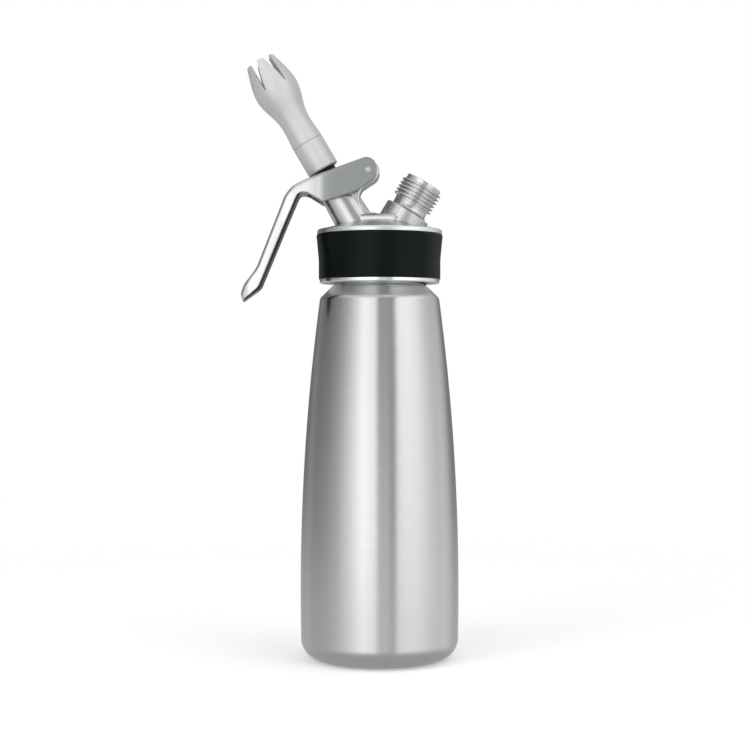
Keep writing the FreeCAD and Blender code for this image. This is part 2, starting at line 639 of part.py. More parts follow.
def head_arm():
    """Upright arm beside the tower that carries the lever's pivot."""
    notch = tower_point(ARM_NOTCH_OFFSET, TOWER_TOP_S)
    tower_middle = tower_point(0, TOWER_TOP_S)
    foot = tower_point(0, TOWER_FOOT_S)
    end = Vector(ARM_END_X, 0, ARM_END_Z)
    throat = Vector(ARM_THROAT_X, 0, ARM_THROAT_Z)
    link = end - throat
    spread = math.acos((ARM_END_RADIUS + ARM_THROAT_RADIUS) / link.Length)
    bearing = math.atan2(link.z, link.x) + spread
    toward = Vector(math.cos(bearing), 0, math.sin(bearing))
    post = across(outline((
        notch, tower_middle, foot,
        (ARM_THROAT_X + ARM_TOE, ARM_THROAT_Z - ARM_THROAT_RADIUS - BRIDGE_ROUNDING),
        (ARM_THROAT_X, ARM_THROAT_Z - ARM_THROAT_RADIUS),
        (ARM_THROAT_X, ARM_THROAT_Z),
        (throat.x + toward.x * ARM_THROAT_RADIUS, throat.z + toward.z * ARM_THROAT_RADIUS),
        (end.x - toward.x * ARM_END_RADIUS, end.z - toward.z * ARM_END_RADIUS),
        (ARM_END_X, ARM_END_Z),
    )), ARM_HALF_WIDTH)
    post = post.fuse(cross_rod(ARM_END_RADIUS, ARM_HALF_WIDTH, ARM_END_X, ARM_END_Z))
    post = post.cut(cross_rod(ARM_THROAT_RADIUS, REACH, ARM_THROAT_X, ARM_THROAT_Z))
    post = post.removeSplitter()
    rim = (ARM_END_X + ARM_END_RADIUS, ARM_HALF_WIDTH, ARM_END_Z)
    for half in (-1, 1):
        post = round_chain(post, (rim[0], half * rim[1], rim[2]), ARM_EDGE_ROUNDING, ARM_EDGE_ROUNDING)
    return post


def inlet_boss():
    """Neck of the charger inlet, with a half collar and a flared foot."""
    neck = rod(INLET_NECK_RADIUS, INLET_FLARE_FOOT_S, INLET_NECK_TOP_S)
    collar = rod(INLET_BOSS_RADIUS, INLET_BOSS_FOOT_S, INLET_BOSS_TOP_S)
    collar = collar.common(block((-REACH, INLET_BOSS_EDGE_OFFSET), REACH,
                                 (INLET_BOSS_FOOT_S, INLET_BOSS_TOP_S)))
    sharp = [edge for edge in collar.Edges if edge.BoundBox.ZMax > INLET_BOSS_TOP_S - TOUCHING]
    collar = collar.makeFillet(INLET_BOSS_ROUNDING, sharp)
    blend_top = INLET_FLARE_TOP_S + INLET_FLARE_BLEND
    flare = turned((
        (0, INLET_FLARE_FOOT_S),
        (INLET_FLARE_RADIUS, INLET_FLARE_FOOT_S),
        (INLET_FLARE_RADIUS, INLET_FLARE_TOP_S),
        (INLET_NECK_RADIUS, INLET_FLARE_TOP_S, INLET_FLARE_ROUNDING),
        (INLET_NECK_RADIUS, blend_top),
        (0, blend_top),
    ))
    flare = flare.common(block((INLET_FLARE_EDGE_OFFSET, REACH), REACH,
                               (INLET_FLARE_FOOT_S, blend_top)))
    return on_inlet(neck.fuse([collar, flare]))


def head_bores():
    """Everything drilled out of the casting."""
    seat_pocket = rod(SEAT_OUTER_RADIUS, SEAT_S - SEAT_HEIGHT, SEAT_TOP_S)
    stem_bore = rod(TOWER_BORE_RADIUS, SEAT_S, TOWER_TOP_S)
    spring_pocket = rod(SPRING_POCKET_RADIUS, SPRING_POCKET_S, TOWER_TOP_S + GUIDE_HEIGHT)
    socket = rod(INLET_SOCKET_RADIUS, INLET_SOCKET_S, INLET_NECK_TOP_S)
    gas_bore = rod(GAS_BORE_RADIUS, GAS_BORE_S, INLET_SOCKET_S)
    gas_outlet = rod(GAS_OUTLET_RADIUS, 0, GAS_BORE_S)
    pivot = cross_rod(BUSH_RADIUS, REACH, PIVOT_X, PIVOT_Z)
    return [on_tower(seat_pocket), on_tower(stem_bore), on_tower(spring_pocket),
            on_inlet(socket), on_inlet(gas_bore), on_inlet(gas_outlet), pivot]


def make_head_casting():
    """The one-piece head: disc, bridge, valve tower, lever arm and inlet neck."""
    parts = [head_bridge(), head_tower(), head_arm(), inlet_boss()]
    return head_disc().fuse(parts).removeSplitter().cut(head_bores())


# ------------------------------------------------------- the charger inlet
def make_charger_inlet():
    """Threaded stub that the charger holder screws onto."""
    blank = turned((
        (HOLDER_RADIUS, INLET_SOCKET_S + INLET_GASKET_THICKNESS),
        (INLET_SOCKET_RADIUS - SPIGOT_CLEARANCE, INLET_SOCKET_S + INLET_GASKET_THICKNESS),
        (INLET_SOCKET_RADIUS - SPIGOT_CLEARANCE, INLET_NECK_TOP_S),
        (CHARGER_ROOT_RADIUS, INLET_NECK_TOP_S),
        (CHARGER_ROOT_RADIUS, CHARGER_PILOT_S),
        (CHARGER_PILOT_RADIUS, CHARGER_PILOT_S),
        (CHARGER_PILOT_RADIUS, CHARGER_TOP_S, CHARGER_PILOT_CHAMFER),
        (CHARGER_MOUTH_RADIUS, CHARGER_TOP_S),
        (CHARGER_MOUTH_RADIUS, CHARGER_MOUTH_S),
        (CHARGER_NECK_BORE_RADIUS, CHARGER_MOUTH_S),
        (CHARGER_NECK_BORE_RADIUS, HOLDER_TOP_S),
        (HOLDER_RADIUS, HOLDER_TOP_S),
    ))
    profile = ridge_profile(CHARGER_ROOT_RADIUS, CHARGER_RIDGE_HEIGHT,
                            CHARGER_PITCH - CHARGER_ROOT_WIDTH, CHARGER_CREST_WIDTH,
                            CHARGER_RIDGE_SINK, 0)
    turns = CHARGER_THREAD_LENGTH / CHARGER_PITCH + 2
    ridge = helix_bar(profile, CHARGER_PITCH, CHARGER_THREAD_START_S - CHARGER_PITCH, turns)
    ridge = ridge.common(rod(REACH, CHARGER_THREAD_START_S, CHARGER_THREAD_END_S))
    return on_inlet(blank.fuse(ridge))


def make_inlet_gasket():
    """Ring that seals the stub's spigot at the bottom of its socket."""
    radius = INLET_SOCKET_RADIUS - SPIGOT_CLEARANCE
    return on_inlet(tube(radius, INLET_GASKET_HOLE_RADIUS, INLET_SOCKET_S,
                         INLET_SOCKET_S + INLET_GASKET_THICKNESS))


def make_needle_holder():
    """Brass plug that carries the piercing needle and passes the gas down."""
    plug = turned((
        (0, HOLDER_STEM_FOOT_S),
        (HOLDER_STEM_RADIUS, HOLDER_STEM_FOOT_S),
        (HOLDER_STEM_RADIUS, HOLDER_FOOT_S),
        (HOLDER_RADIUS, HOLDER_FOOT_S),
        (HOLDER_RADIUS, HOLDER_TOP_S),
        (0, HOLDER_TOP_S),
    ))
    gas = rod(HOLDER_GAS_RADIUS, HOLDER_PORT_S - HOLDER_GAS_RADIUS, NEEDLE_FOOT_S)
    seat = rod(NEEDLE_RADIUS, NEEDLE_FOOT_S, HOLDER_TOP_S)
    port = cross_rod(HOLDER_PORT_RADIUS, REACH, 0, HOLDER_PORT_S)
    return on_inlet(plug.cut([gas, seat, port]))


def make_piercing_needle():
    """Hollow needle that opens the charger's cap."""
    shank = rod(NEEDLE_RADIUS, NEEDLE_FOOT_S, NEEDLE_SHANK_TOP_S)
    tip = Part.makeCone(NEEDLE_RADIUS, NEEDLE_GAS_RADIUS, NEEDLE_TIP_S - NEEDLE_SHANK_TOP_S,
                        Vector(0, 0, NEEDLE_SHANK_TOP_S), UP)
    gas = rod(NEEDLE_GAS_RADIUS, NEEDLE_FOOT_S, NEEDLE_SHANK_TOP_S)
    return on_inlet(shank.fuse(tip).removeSplitter().cut(gas))


def make_charger_seal():
    """Ring that the charger's neck is pressed against."""
    return on_inlet(tube(CHARGER_NECK_BORE_RADIUS, CHARGER_SEAL_HOLE_RADIUS, HOLDER_TOP_S,
                         HOLDER_TOP_S + CHARGER_SEAL_THICKNESS))


def make_check_sleeve():
    """Elastic sleeve over the gas ports that keeps the cream out."""
    outer = HOLDER_STEM_RADIUS + CHECK_SLEEVE_WALL
    top = CHECK_SLEEVE_FOOT_S + CHECK_SLEEVE_LENGTH
    return on_inlet(tube(outer, HOLDER_STEM_RADIUS, CHECK_SLEEVE_FOOT_S, top))


# ---------------------------------------------------------- valve and stem
def make_valve_seat():
    """Hard ring pressed into the boss, closed from below by the valve seal."""
    return on_tower(tube(SEAT_OUTER_RADIUS, SEAT_BORE_RADIUS, SEAT_S, SEAT_TOP_S))


def make_stem_guide():
    """Bush in the foot of the spring pocket that keeps the stem straight."""
    bore = STEM_RADIUS + STEM_CLEARANCE
    return on_tower(tube(SPRING_POCKET_RADIUS, bore, SPRING_POCKET_S, GUIDE_TOP_S))


def make_valve_stem():
    """Hollow stem: head below the seat, side ports, ring grooves, thin neck."""
    head_top = SEAT_S - VALVE_SEAL_THICKNESS
    stem = turned((
        (0, head_top - VALVE_HEAD_THICKNESS),
        (VALVE_HEAD_RADIUS, head_top - VALVE_HEAD_THICKNESS),
        (VALVE_HEAD_RADIUS, head_top),
        (STEM_RADIUS, head_top),
        (STEM_RADIUS, COLLAR_S),
        (STEM_NECK_RADIUS, COLLAR_S),
        (STEM_NECK_RADIUS, STEM_TOP_S),
        (0, STEM_TOP_S),
    ))
    cuts = [rod(STEM_BORE_RADIUS, SEAT_S + STEM_BORE_FOOT_RISE, STEM_TOP_S)]
    port = cross_rod(STEM_PORT_RADIUS, REACH, 0, SEAT_S + STEM_PORT_RISE)
    for quarter in (0, 90):
        cuts.append(port.rotated(Vector(0, 0, 0), UP, quarter))
    half = STEM_RING_GROOVE_WIDTH / 2
    for s in STEM_RING_S:
        cuts.append(tube(STEM_RADIUS + half, STEM_RING_GROOVE_RADIUS, s - half, s + half))
    return on_tower(stem.cut(cuts))


def make_valve_seal():
    """Soft washer on the stem's head that closes against the seat."""
    return on_tower(tube(VALVE_SEAL_RADIUS, STEM_RADIUS, SEAT_S - VALVE_SEAL_THICKNESS, SEAT_S))


def make_stem_ring(s):
    """Sealing ring that slides in the tower's bore with the stem."""
    return on_tower(Part.makeTorus(STEM_RING_MIDDLE_RADIUS, STEM_RING_SECTION, Vector(0, 0, s), UP))


def make_stem_collar():
    """Collar on the stem: the spring lifts it and the lever's foot presses it."""
    return on_tower(tube(COLLAR_RADIUS, STEM_NECK_RADIUS, COLLAR_S, COLLAR_TOP_S))


def make_return_spring():
    """Coil spring with ground ends between the guide bush and the collar."""
    height = COLLAR_S - GUIDE_TOP_S
    rise = height - SPRING_WIRE_RADIUS / 2
    helix = Part.makeHelix(rise / SPRING_TURNS, rise, SPRING_MEAN_RADIUS)
    start = Vector(SPRING_MEAN_RADIUS, 0, 0)
    section = Part.Wire(Part.makeCircle(SPRING_WIRE_RADIUS, start, Vector(0, 1, 0)))
    coil = Part.Wire(helix.Edges).makePipeShell([section], True, True)
    coil.translate(Vector(0, 0, GUIDE_TOP_S + (height - rise) / 2))
    return on_tower(coil.common(rod(SPRING_POCKET_RADIUS, GUIDE_TOP_S, COLLAR_S)))


# ------------------------------------------------------ adapter and nozzle
def nozzle_ridge(sink, spread, start, turns):
    """The adapter's thread ridge, or the cutter for the nozzle's groove."""
    profile = ridge_profile(ADAPTER_CORE_RADIUS, NOZZLE_RIDGE_HEIGHT, NOZZLE_RIDGE_ROOT_WIDTH,
                            NOZZLE_RIDGE_CREST_WIDTH, sink, spread)
    return helix_bar(profile, NOZZLE_PITCH, start, turns)


def make_nozzle_adapter():
    """Flanged screw piece on top of the stem that the nozzle screws onto."""
    body = rod(ADAPTER_FLANGE_RADIUS, ADAPTER_FLANGE_S, ADAPTER_FLANGE_TOP_S)
    body = body.fuse(rod(ADAPTER_CORE_RADIUS, ADAPTER_FLANGE_TOP_S, ADAPTER_TOP_S))
    body = body.fuse(nozzle_ridge(THREAD_ROOT_SINK, 0, NOZZLE_RIDGE_START_S, NOZZLE_RIDGE_TURNS))
    socket = rod(STEM_NECK_RADIUS, ADAPTER_FLANGE_S, STEM_TOP_S)
    cream_bore = rod(STEM_BORE_RADIUS, STEM_TOP_S, ADAPTER_TOP_S)
    return on_tower(body.cut([socket, cream_bore]))


def make_nozzle_ring():
    """Sealing ring round the adapter's thread, between its flange and the nozzle."""
    ring = tube(NOZZLE_RING_RADIUS, NOZZLE_RING_BORE_RADIUS, ADAPTER_FLANGE_TOP_S, NOZZLE_RING_TOP_S)
    return on_tower(ring)


def nozzle_curve(thickness):
    """Side curve of the tulip above the collar, moved inward by a thickness."""
    seam = (NOZZLE_COLLAR_RADIUS, NOZZLE_COLLAR_LENGTH)
    tip = (NOZZLE_TIP_RADIUS, NOZZLE_LENGTH)
    knots = (seam,) + NOZZLE_SIDE + (tip,)
    curve = Part.BSplineCurve()
    curve.interpolate([Vector(radius - thickness, 0, height) for radius, height in knots])
    return curve.toShape()


def nozzle_outside():
    """Closed outer form of the nozzle, its foot at height zero."""
    side = nozzle_curve(0)
    seam = NOZZLE_COLLAR_LENGTH
    frame = Part.makePolygon([Vector(NOZZLE_TIP_RADIUS, 0, NOZZLE_LENGTH),
                              Vector(0, 0, NOZZLE_LENGTH), Vector(0, 0, 0),
                              Vector(NOZZLE_COLLAR_RADIUS, 0, 0),
                              Vector(NOZZLE_COLLAR_RADIUS, 0, seam)])
    body = Part.Face(Part.Wire([side] + frame.Edges)).revolve(Vector(0, 0, 0), UP, 360)
    body = round_circle(body, NOZZLE_COLLAR_RADIUS, 0, NOZZLE_COLLAR_ROUNDING)
    body = round_circle(body, NOZZLE_TIP_RADIUS, NOZZLE_LENGTH, NOZZLE_TIP_ROUNDING)
    seam_ring = tube(NOZZLE_COLLAR_RADIUS * 2, NOZZLE_COLLAR_RADIUS - NOZZLE_SEAM_DEPTH,
                     seam, seam + NOZZLE_SEAM_WIDTH)
    return body.cut(seam_ring)


def nozzle_inside(bore):
    """Hollow of the nozzle above its threaded socket."""
    side = nozzle_curve(NOZZLE_WALL)
    frame = Part.makePolygon([Vector(NOZZLE_TIP_RADIUS - NOZZLE_WALL, 0, NOZZLE_LENGTH),
                              Vector(0, 0, NOZZLE_LENGTH), Vector(0, 0, NOZZLE_THREAD_DEPTH),
                              Vector(bore, 0, NOZZLE_THREAD_DEPTH),
                              Vector(NOZZLE_COLLAR_RADIUS - NOZZLE_WALL, 0, NOZZLE_COLLAR_LENGTH)])
    return Part.Face(Part.Wire([side] + frame.Edges)).revolve(Vector(0, 0, 0), UP, 360)


def petal_slot():
    """V-shaped cutter between two petals, flared at the tip to round their corners."""
    mouth = PETAL_SLOT_WIDTH / 2
    mouth_z = NOZZLE_LENGTH - PETAL_CORNER
    flare = 2 * PETAL_CORNER
    wedge = Part.Face(outline((
        (0, NOZZLE_LENGTH - PETAL_SLOT_DEPTH, PETAL_SLOT_ROUNDING),
        (mouth, mouth_z, PETAL_CORNER),
        (mouth + flare, mouth_z + flare),
        (-mouth - flare, mouth_z + flare),
        (-mouth, mouth_z, PETAL_CORNER),
    )))
    return wedge.extrude(Vector(0, -NOZZLE_BULGE_RADIUS * 2, 0))


def make_decorator_nozzle():
    """Tulip-shaped tip with petals, screwed down on the adapter."""
    bore = ADAPTER_CORE_RADIUS + NOZZLE_BORE_CLEARANCE
    body = nozzle_outside().cut([nozzle_inside(bore), rod(bore, 0, NOZZLE_THREAD_DEPTH)])
    slot = petal_slot()
    step = 360 / PETAL_COUNT
    for index in range(PETAL_COUNT):
        body = body.cut(slot.rotated(Vector(0, 0, 0), UP, PETAL_TURN_DEG + (index + 0.5) * step))
    ridge_top = NOZZLE_RIDGE_START_S + NOZZLE_RIDGE_TURNS * NOZZLE_PITCH
    turns = math.ceil((ridge_top - NOZZLE_S) / NOZZLE_PITCH)
    start = ridge_top - turns * NOZZLE_PITCH - NOZZLE_S
    run_out = 2 * NOZZLE_THREAD_CLEARANCE / NOZZLE_PITCH
    body = body.cut(nozzle_ridge(0, NOZZLE_THREAD_CLEARANCE, start, turns + run_out))
    body.translate(Vector(0, 0, NOZZLE_S))
    return on_tower(body)


# --------------------------------------------------------------- the lever
def edge_middle(corners, index):
    """Middle of the straight run from one corner of an outline to the next."""
    x, z = corners[index][:2]
    next_x, next_z = corners[index + 1][:2]
    return (x + next_x) / 2, (z + next_z) / 2


def round_chain(solid, point, first, last):
    """Round the run of smooth edges through a point, by first at one end to last."""
    mark = Part.Vertex(Vector(*point))
    edge = min(solid.Edges, key=lambda candidate: candidate.distToShape(mark)[0])
    return solid.makeFillet(first, last, [edge])


def lever_plan():
    """Closed outline of the lever from above, on the ground."""
    fork_x, fork_rounding = PLAN_FORK_CORNER
    handle_x, handle_rounding = PLAN_HANDLE_CORNER
    taper_x, taper_step, taper_rounding = PLAN_TAPER_CORNER
    tip_x, tip_step, tip_rounding = PLAN_TIP_CORNER
    corners = (
        (fork_x, FORK_HALF_WIDTH, fork_rounding),
        (handle_x, HANDLE_HALF_WIDTH, handle_rounding),
        (taper_x, HANDLE_HALF_WIDTH - taper_step, taper_rounding),
        (tip_x, HANDLE_HALF_WIDTH - tip_step, tip_rounding),
    )
    near = [(PIVOT_X + x, -half, rounding) for x, half, rounding in corners]
    far = [(PIVOT_X + x, half, rounding) for x, half, rounding in reversed(corners)]
    root_x = PIVOT_X + PLAN_ROOT_X
    plan = outline(near + far + [(root_x, FORK_HALF_WIDTH), (root_x, -FORK_HALF_WIDTH)])
    plan.rotate(Vector(0, 0, 0), Vector(1, 0, 0), 90)
    return plan


def run_on(corner, through):
    """Point a little past one outline corner, on the line that comes from another."""
    run = Vector(through[0] - corner[0], 0, through[1] - corner[1]).normalize() * BLANK_OVERLAP
    return through[0] + run.x, through[1] + run.z


def crossed_blank(corners):
    """Side outline of the lever, or of more than it, crossed with its plan outline."""
    side = across(outline(from_pivot(corners)), FORK_HALF_WIDTH)
    return side.common(Part.Face(lever_plan()).extrude(Vector(0, 0, PIVOT_Z + REACH)))


def outer_blank():
    """Blank with the lever's outside and underside, that reaches past its grip side."""
    tip = run_on(LEVER_OUTER[-2], LEVER_OUTER[-1])
    heel = run_on(LEVER_UNDERSIDE[1], LEVER_UNDERSIDE[0])
    blank = crossed_blank(LEVER_OUTER[:-1] + (tip, (heel[0], tip[1]), heel) + LEVER_UNDERSIDE[1:])
    x, z = edge_middle(from_pivot(LEVER_OUTER), 0)
    for half in (-1, 1):
        crest = (x, half * FORK_HALF_WIDTH, z)
        blank = round_chain(blank, crest, CHEEK_EDGE_ROUNDING, HANDLE_OUTER_ROUNDING)
    return blank


def grip_blank():
    """Blank with the lever's grip side, that reaches past its outside and underside."""
    tip = run_on(LEVER_GRIP[0], LEVER_OUTER[-1])
    heel = run_on(LEVER_GRIP[-1], LEVER_UNDERSIDE[0])
    far = ((BLANK_REACH, -BLANK_REACH), (BLANK_REACH, BLANK_REACH), (-2 * BLANK_REACH, BLANK_REACH))
    blank = crossed_blank((tip,) + LEVER_GRIP + (heel,) + far)
    x, z = edge_middle(from_pivot(LEVER_GRIP), 1)
    for half in (-1, 1):
        grip = (x, half * HANDLE_HALF_WIDTH, z)
        blank = round_chain(blank, grip, HANDLE_INNER_ROUNDING, HANDLE_INNER_ROUNDING)
    return blank


def fork_gap():
    """What is cut from between the cheeks, above, below and behind the web."""
    gap = FORK_GAP_HALF_WIDTH
    above = block((-RECESS_OFFSET, REACH), gap, (WEB_TOP_S, WEB_TOP_S + REACH))
    below = block((-CHANNEL_OFFSET, REACH), gap, (0, WEB_FOOT_S))
    behind = block((WEB_EDGE_OFFSET, REACH), gap, (0, WEB_TOP_S))
    return on_tower(above.fuse([below, behind]))


def web_foot():
    """Rounded foot under the web that rolls on the stem's collar."""
    low = COLLAR_TOP_S + FOOT_GAP
    roller = cross_rod(FOOT_RADIUS, FORK_GAP_HALF_WIDTH, 0, low + FOOT_RADIUS)
    keep = block((-WEB_EDGE_OFFSET, WEB_EDGE_OFFSET), REACH, (low, WEB_TOP_S))
    return on_tower(roller.common(keep))


def make_lever():
    """Cast squeeze lever: forked cheeks at the pivot, web and curved handle."""
    blank = outer_blank().common(grip_blank())
    lever = blank.cut(fork_gap()).fuse(web_foot()).removeSplitter()
    hole = on_tower(rod(FOOT_HOLE_RADIUS, COLLAR_S, WEB_TOP_S + COLLAR_THICKNESS))
    pin_hole = cross_rod(PIN_RADIUS, REACH, PIVOT_X, PIVOT_Z)
    return lever.cut([hole, pin_hole])


def make_pivot_pin():
    """Plain pin through the cheeks, with a dimple in each end."""
    length = FORK_HALF_WIDTH - PIN_DOME_RECESS
    pin = cross_rod(PIN_RADIUS, length, PIVOT_X, PIVOT_Z)
    for side in (-1, 1):
        tip = Vector(PIVOT_X, side * (length - PIN_DIMPLE_DEPTH), PIVOT_Z)
        dimple = Part.makeCone(0, PIN_DIMPLE_RADIUS, PIN_DIMPLE_DEPTH, tip, Vector(0, side, 0))
        pin = pin.cut(dimple)
    return pin


def make_pivot_bush(side):
    """Flanged bush in one end of the arm's bore, between arm and cheek."""
    face = FORK_GAP_HALF_WIDTH - CHEEK_PLAY
    axis = Vector(0, side, 0)
    middle = Vector(PIVOT_X, 0, PIVOT_Z)
    barrel = Part.makeCylinder(BUSH_RADIUS, face, middle, axis)
    arm_side = middle + axis * ARM_HALF_WIDTH
    flange = Part.makeCylinder(BUSH_FLANGE_RADIUS, face - ARM_HALF_WIDTH, arm_side, axis)
    bore = Part.makeCylinder(BUSH_BORE_RADIUS, face, middle, axis)
    return barrel.fuse(flange).removeSplitter().cut(bore)


# -------------------------------------------------------------- the export
def build_parts():
    """Every piece under its node name."""
    parts = {
        "bottle_shell": make_bottle_shell(),
        "head_gasket": make_head_gasket(),
        "cap_sleeve": make_cap_sleeve(),
        "grip_band": make_grip_band(),
        "head_casting": make_head_casting(),
        "charger_inlet": make_charger_inlet(),
        "inlet_gasket": make_inlet_gasket(),
        "needle_holder": make_needle_holder(),
        "piercing_needle": make_piercing_needle(),
        "charger_seal": make_charger_seal(),
        "check_valve_sleeve": make_check_sleeve(),
        "valve_seat": make_valve_seat(),
        "stem_guide_bush": make_stem_guide(),
        "valve_stem": make_valve_stem(),
        "valve_seal": make_valve_seal(),
        "stem_collar": make_stem_collar(),
        "return_spring": make_return_spring(),
        "nozzle_adapter": make_nozzle_adapter(),
        "nozzle_ring": make_nozzle_ring(),
        "decorator_nozzle": make_decorator_nozzle(),
        "lever": make_lever(),
        "pivot_pin": make_pivot_pin(),
    }
    for name, s in zip(("lower", "upper"), STEM_RING_S):
        parts["stem_ring_" + name] = make_stem_ring(s)
    for name, side in (("near", -1), ("far", 1)):
        parts["pivot_bush_" + name] = make_pivot_bush(side)
    return parts


os.makedirs("parts", exist_ok=True)
for node, shape in build_parts().items():
    box = shape.BoundBox
    print(f"{node:20s} solids {len(shape.Solids)} valid {shape.isValid()} volume {shape.Volume:10.2f}"
          f"  z {box.ZMin:7.2f} to {box.ZMax:7.2f}")
    shape.exportStep(f"parts/{node}.step")
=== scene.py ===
# %% [markdown]
# # A whipped cream dispenser, dressed for its portrait
#
# This lesson takes the finished parts of a half-litre cream dispenser and gives them the look
# of the real thing: satin steel, polished steel, soft black silicone and frosted plastic. The
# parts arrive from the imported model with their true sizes, so nothing here is scaled or moved.
# What Blender adds is light, camera, finishes, and the few pieces that CAD makes less well.

# %% Load the frame
import math

import bpy
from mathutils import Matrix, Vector


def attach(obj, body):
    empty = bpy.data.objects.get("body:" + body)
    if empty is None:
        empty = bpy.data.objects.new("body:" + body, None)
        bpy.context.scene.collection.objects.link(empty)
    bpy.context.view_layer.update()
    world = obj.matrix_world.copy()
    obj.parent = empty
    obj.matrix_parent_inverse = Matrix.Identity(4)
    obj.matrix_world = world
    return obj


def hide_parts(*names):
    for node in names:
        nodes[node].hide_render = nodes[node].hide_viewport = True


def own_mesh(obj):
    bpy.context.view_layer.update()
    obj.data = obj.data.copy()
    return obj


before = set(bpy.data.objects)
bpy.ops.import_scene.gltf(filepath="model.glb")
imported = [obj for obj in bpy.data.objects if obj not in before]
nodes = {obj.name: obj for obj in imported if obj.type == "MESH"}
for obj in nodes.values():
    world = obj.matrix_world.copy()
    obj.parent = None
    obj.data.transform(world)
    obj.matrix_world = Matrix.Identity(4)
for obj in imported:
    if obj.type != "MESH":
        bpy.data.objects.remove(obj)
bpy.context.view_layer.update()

# %% [markdown]
# ## The camera
#
# A product picture is taken from well back with a long lens, so that the bottle's sides stay
# upright. The camera stands level with the middle of the dispenser. Instead of tilting it, the
# picture is shifted a little, as with a view camera, which keeps upright edges upright.

# %% Camera
CAMERA_DISTANCE = 0.832
CAMERA_HEIGHT = 0.1572
LENS_MM = 76.8
SHIFT = (-0.0061, -0.0267)

lens = bpy.data.cameras.new("portrait_lens")
lens.lens = LENS_MM
lens.shift_x, lens.shift_y = SHIFT
camera = bpy.data.objects.new("portrait_camera", lens)
camera.location = (0, -CAMERA_DISTANCE, CAMERA_HEIGHT)
camera.rotation_euler = (math.radians(90), 0, 0)
bpy.context.scene.collection.objects.link(camera)
bpy.context.scene.camera = camera
bpy.context.scene.view_settings.view_transform = "Standard"
print("camera", [round(value, 3) for value in camera.location])

# %% [markdown]
# ## Helpers for node trees
#
# Every finish below is a small network of nodes, and a few helpers keep the networks readable.
# The chief one adds a node and fills its sockets by name. A socket that is given a value keeps
# it; a socket that is given another node's output is joined to it. The others do sums, map one
# range to another, take a vector apart, blend two colours and make plain greys.

# %% Node helpers
def join(tree, socket, value):
    """Fill a socket with a plain value or with another socket."""
    if isinstance(value, bpy.types.NodeSocket):
        tree.links.new(value, socket)
    else:
        socket.default_value = value


def put(tree, kind, inputs=(), **settings):
    """Add a node, set its options and fill its inputs, which are named or numbered."""
    item = tree.nodes.new(kind)
    for name, value in settings.items():
        setattr(item, name, value)
    for key, value in dict(inputs).items():
        join(tree, item.inputs[key], value)
    return item


def sums(tree, operation, *values, clamp=False):
    """One math node; its result socket."""
    item = put(tree, "ShaderNodeMath", dict(enumerate(values)), operation=operation, use_clamp=clamp)
    return item.outputs[0]


def spread(tree, value, low, high, to_low=0.0, to_high=1.0):
    """Smoothly map a value from one range to another."""
    item = put(tree, "ShaderNodeMapRange", {"Value": value, "From Min": low, "From Max": high,
                                            "To Min": to_low, "To Max": to_high},
               interpolation_type="SMOOTHSTEP")
    return item.outputs["Result"]


def split(tree, vector):
    """The x, y and z of a vector."""
    return put(tree, "ShaderNodeSeparateXYZ", {"Vector": vector}).outputs


def blend_colours(tree, share, first, second):
    """The first colour, or the second where the share is one."""
    item = put(tree, "ShaderNodeMix", {"Factor": share, "A": first, "B": second}, data_type="RGBA")
    return item.outputs[2]


def grey(value):
    """Opaque grey of one brightness."""
    return (value, value, value, 1)


# %% [markdown]
# ## The studio
#
# Metal has hardly any colour of its own: what is seen on it is the room. A steel bottle is
# photographed between tall white sheets with dark gaps between them, and each sheet becomes an
# upright stripe on the bottle. Here the sheets are painted straight onto the world, as a ramp
# of brightness round the horizon, because a ramp is easy to adjust.
#
# Each row of the table is a bearing, a brightness at the horizon and a brightness higher up,
# where the bottle's sloping upper half looks. Bearings are counted from the camera's side,
# positive towards +X. The sheets lean away from the camera's line as they rise. Below the
# horizon a low pale sheet evens the stripes out, and straight down the table is dimmer. Above
# the sheets hangs a broad ceiling light. A ramp's colours stop at one, so all brightnesses are
# divided by RAMP_FULL and the background's strength brings them back.

# %% Studio sheets
SHEETS = (
    (-180, 0.16, 0.10), (-150, 0.18, 0.11), (-128, 0.32, 0.20), (-112, 0.24, 0.15), (-86, 0.32, 0.19),
    (-66, 0.52, 0.31), (-47, 0.95, 0.60), (-32, 1.42, 1.10), (-24, 1.66, 1.42), (-6.5, 1.38, 1.22),
    (-4.4, 1.12, 0.90), (-1.5, 0.72, 0.43), (2, 0.63, 0.38), (10, 0.68, 0.44), (19, 0.40, 0.35),
    (22, 0.44, 0.48), (26, 1.20, 1.32), (42, 1.28, 1.38), (58, 1.22, 1.22), (76, 0.94, 0.80),
    (97, 0.74, 0.60), (108, 0.80, 0.60), (121, 0.62, 0.45), (140, 0.25, 0.18), (180, 0.16, 0.10),
)
AT_HORIZON = 1
HIGHER_UP = 2
RAMP_FULL = 1.7
RAMP_MIDDLE = 0.5
CLIMB_TOP = 0.26
LEAN = 0.9
SHEET_TOP = 0.50
CEILING_FROM = 0.85
CEILING_BRIGHTNESS = 0.80
LOW_SHEET = 0.90
LOW_SHARE = 0.45
LOW_FROM = -0.04
LOW_TO = -0.16
TABLE_BRIGHTNESS = 0.45
TABLE_FROM = -0.25
TABLE_TO = -0.55
BACKDROP_BRIGHTNESS = 1.0


def sheet_ramp(tree, place, column):
    """Ramp of the sheets' brightness round the horizon, from one column of the table."""
    ramp = put(tree, "ShaderNodeValToRGB", {"Fac": place})
    stops = ramp.color_ramp.elements
    while len(stops) > 1:
        stops.remove(stops[-1])
    for index, sheet in enumerate(SHEETS):
        position = (sheet[0] + 180) / 360
        stop = stops[0] if index == 0 else stops.new(position)
        stop.position = position
        stop.color = grey(sheet[column] / RAMP_FULL)
    return ramp.outputs["Color"]


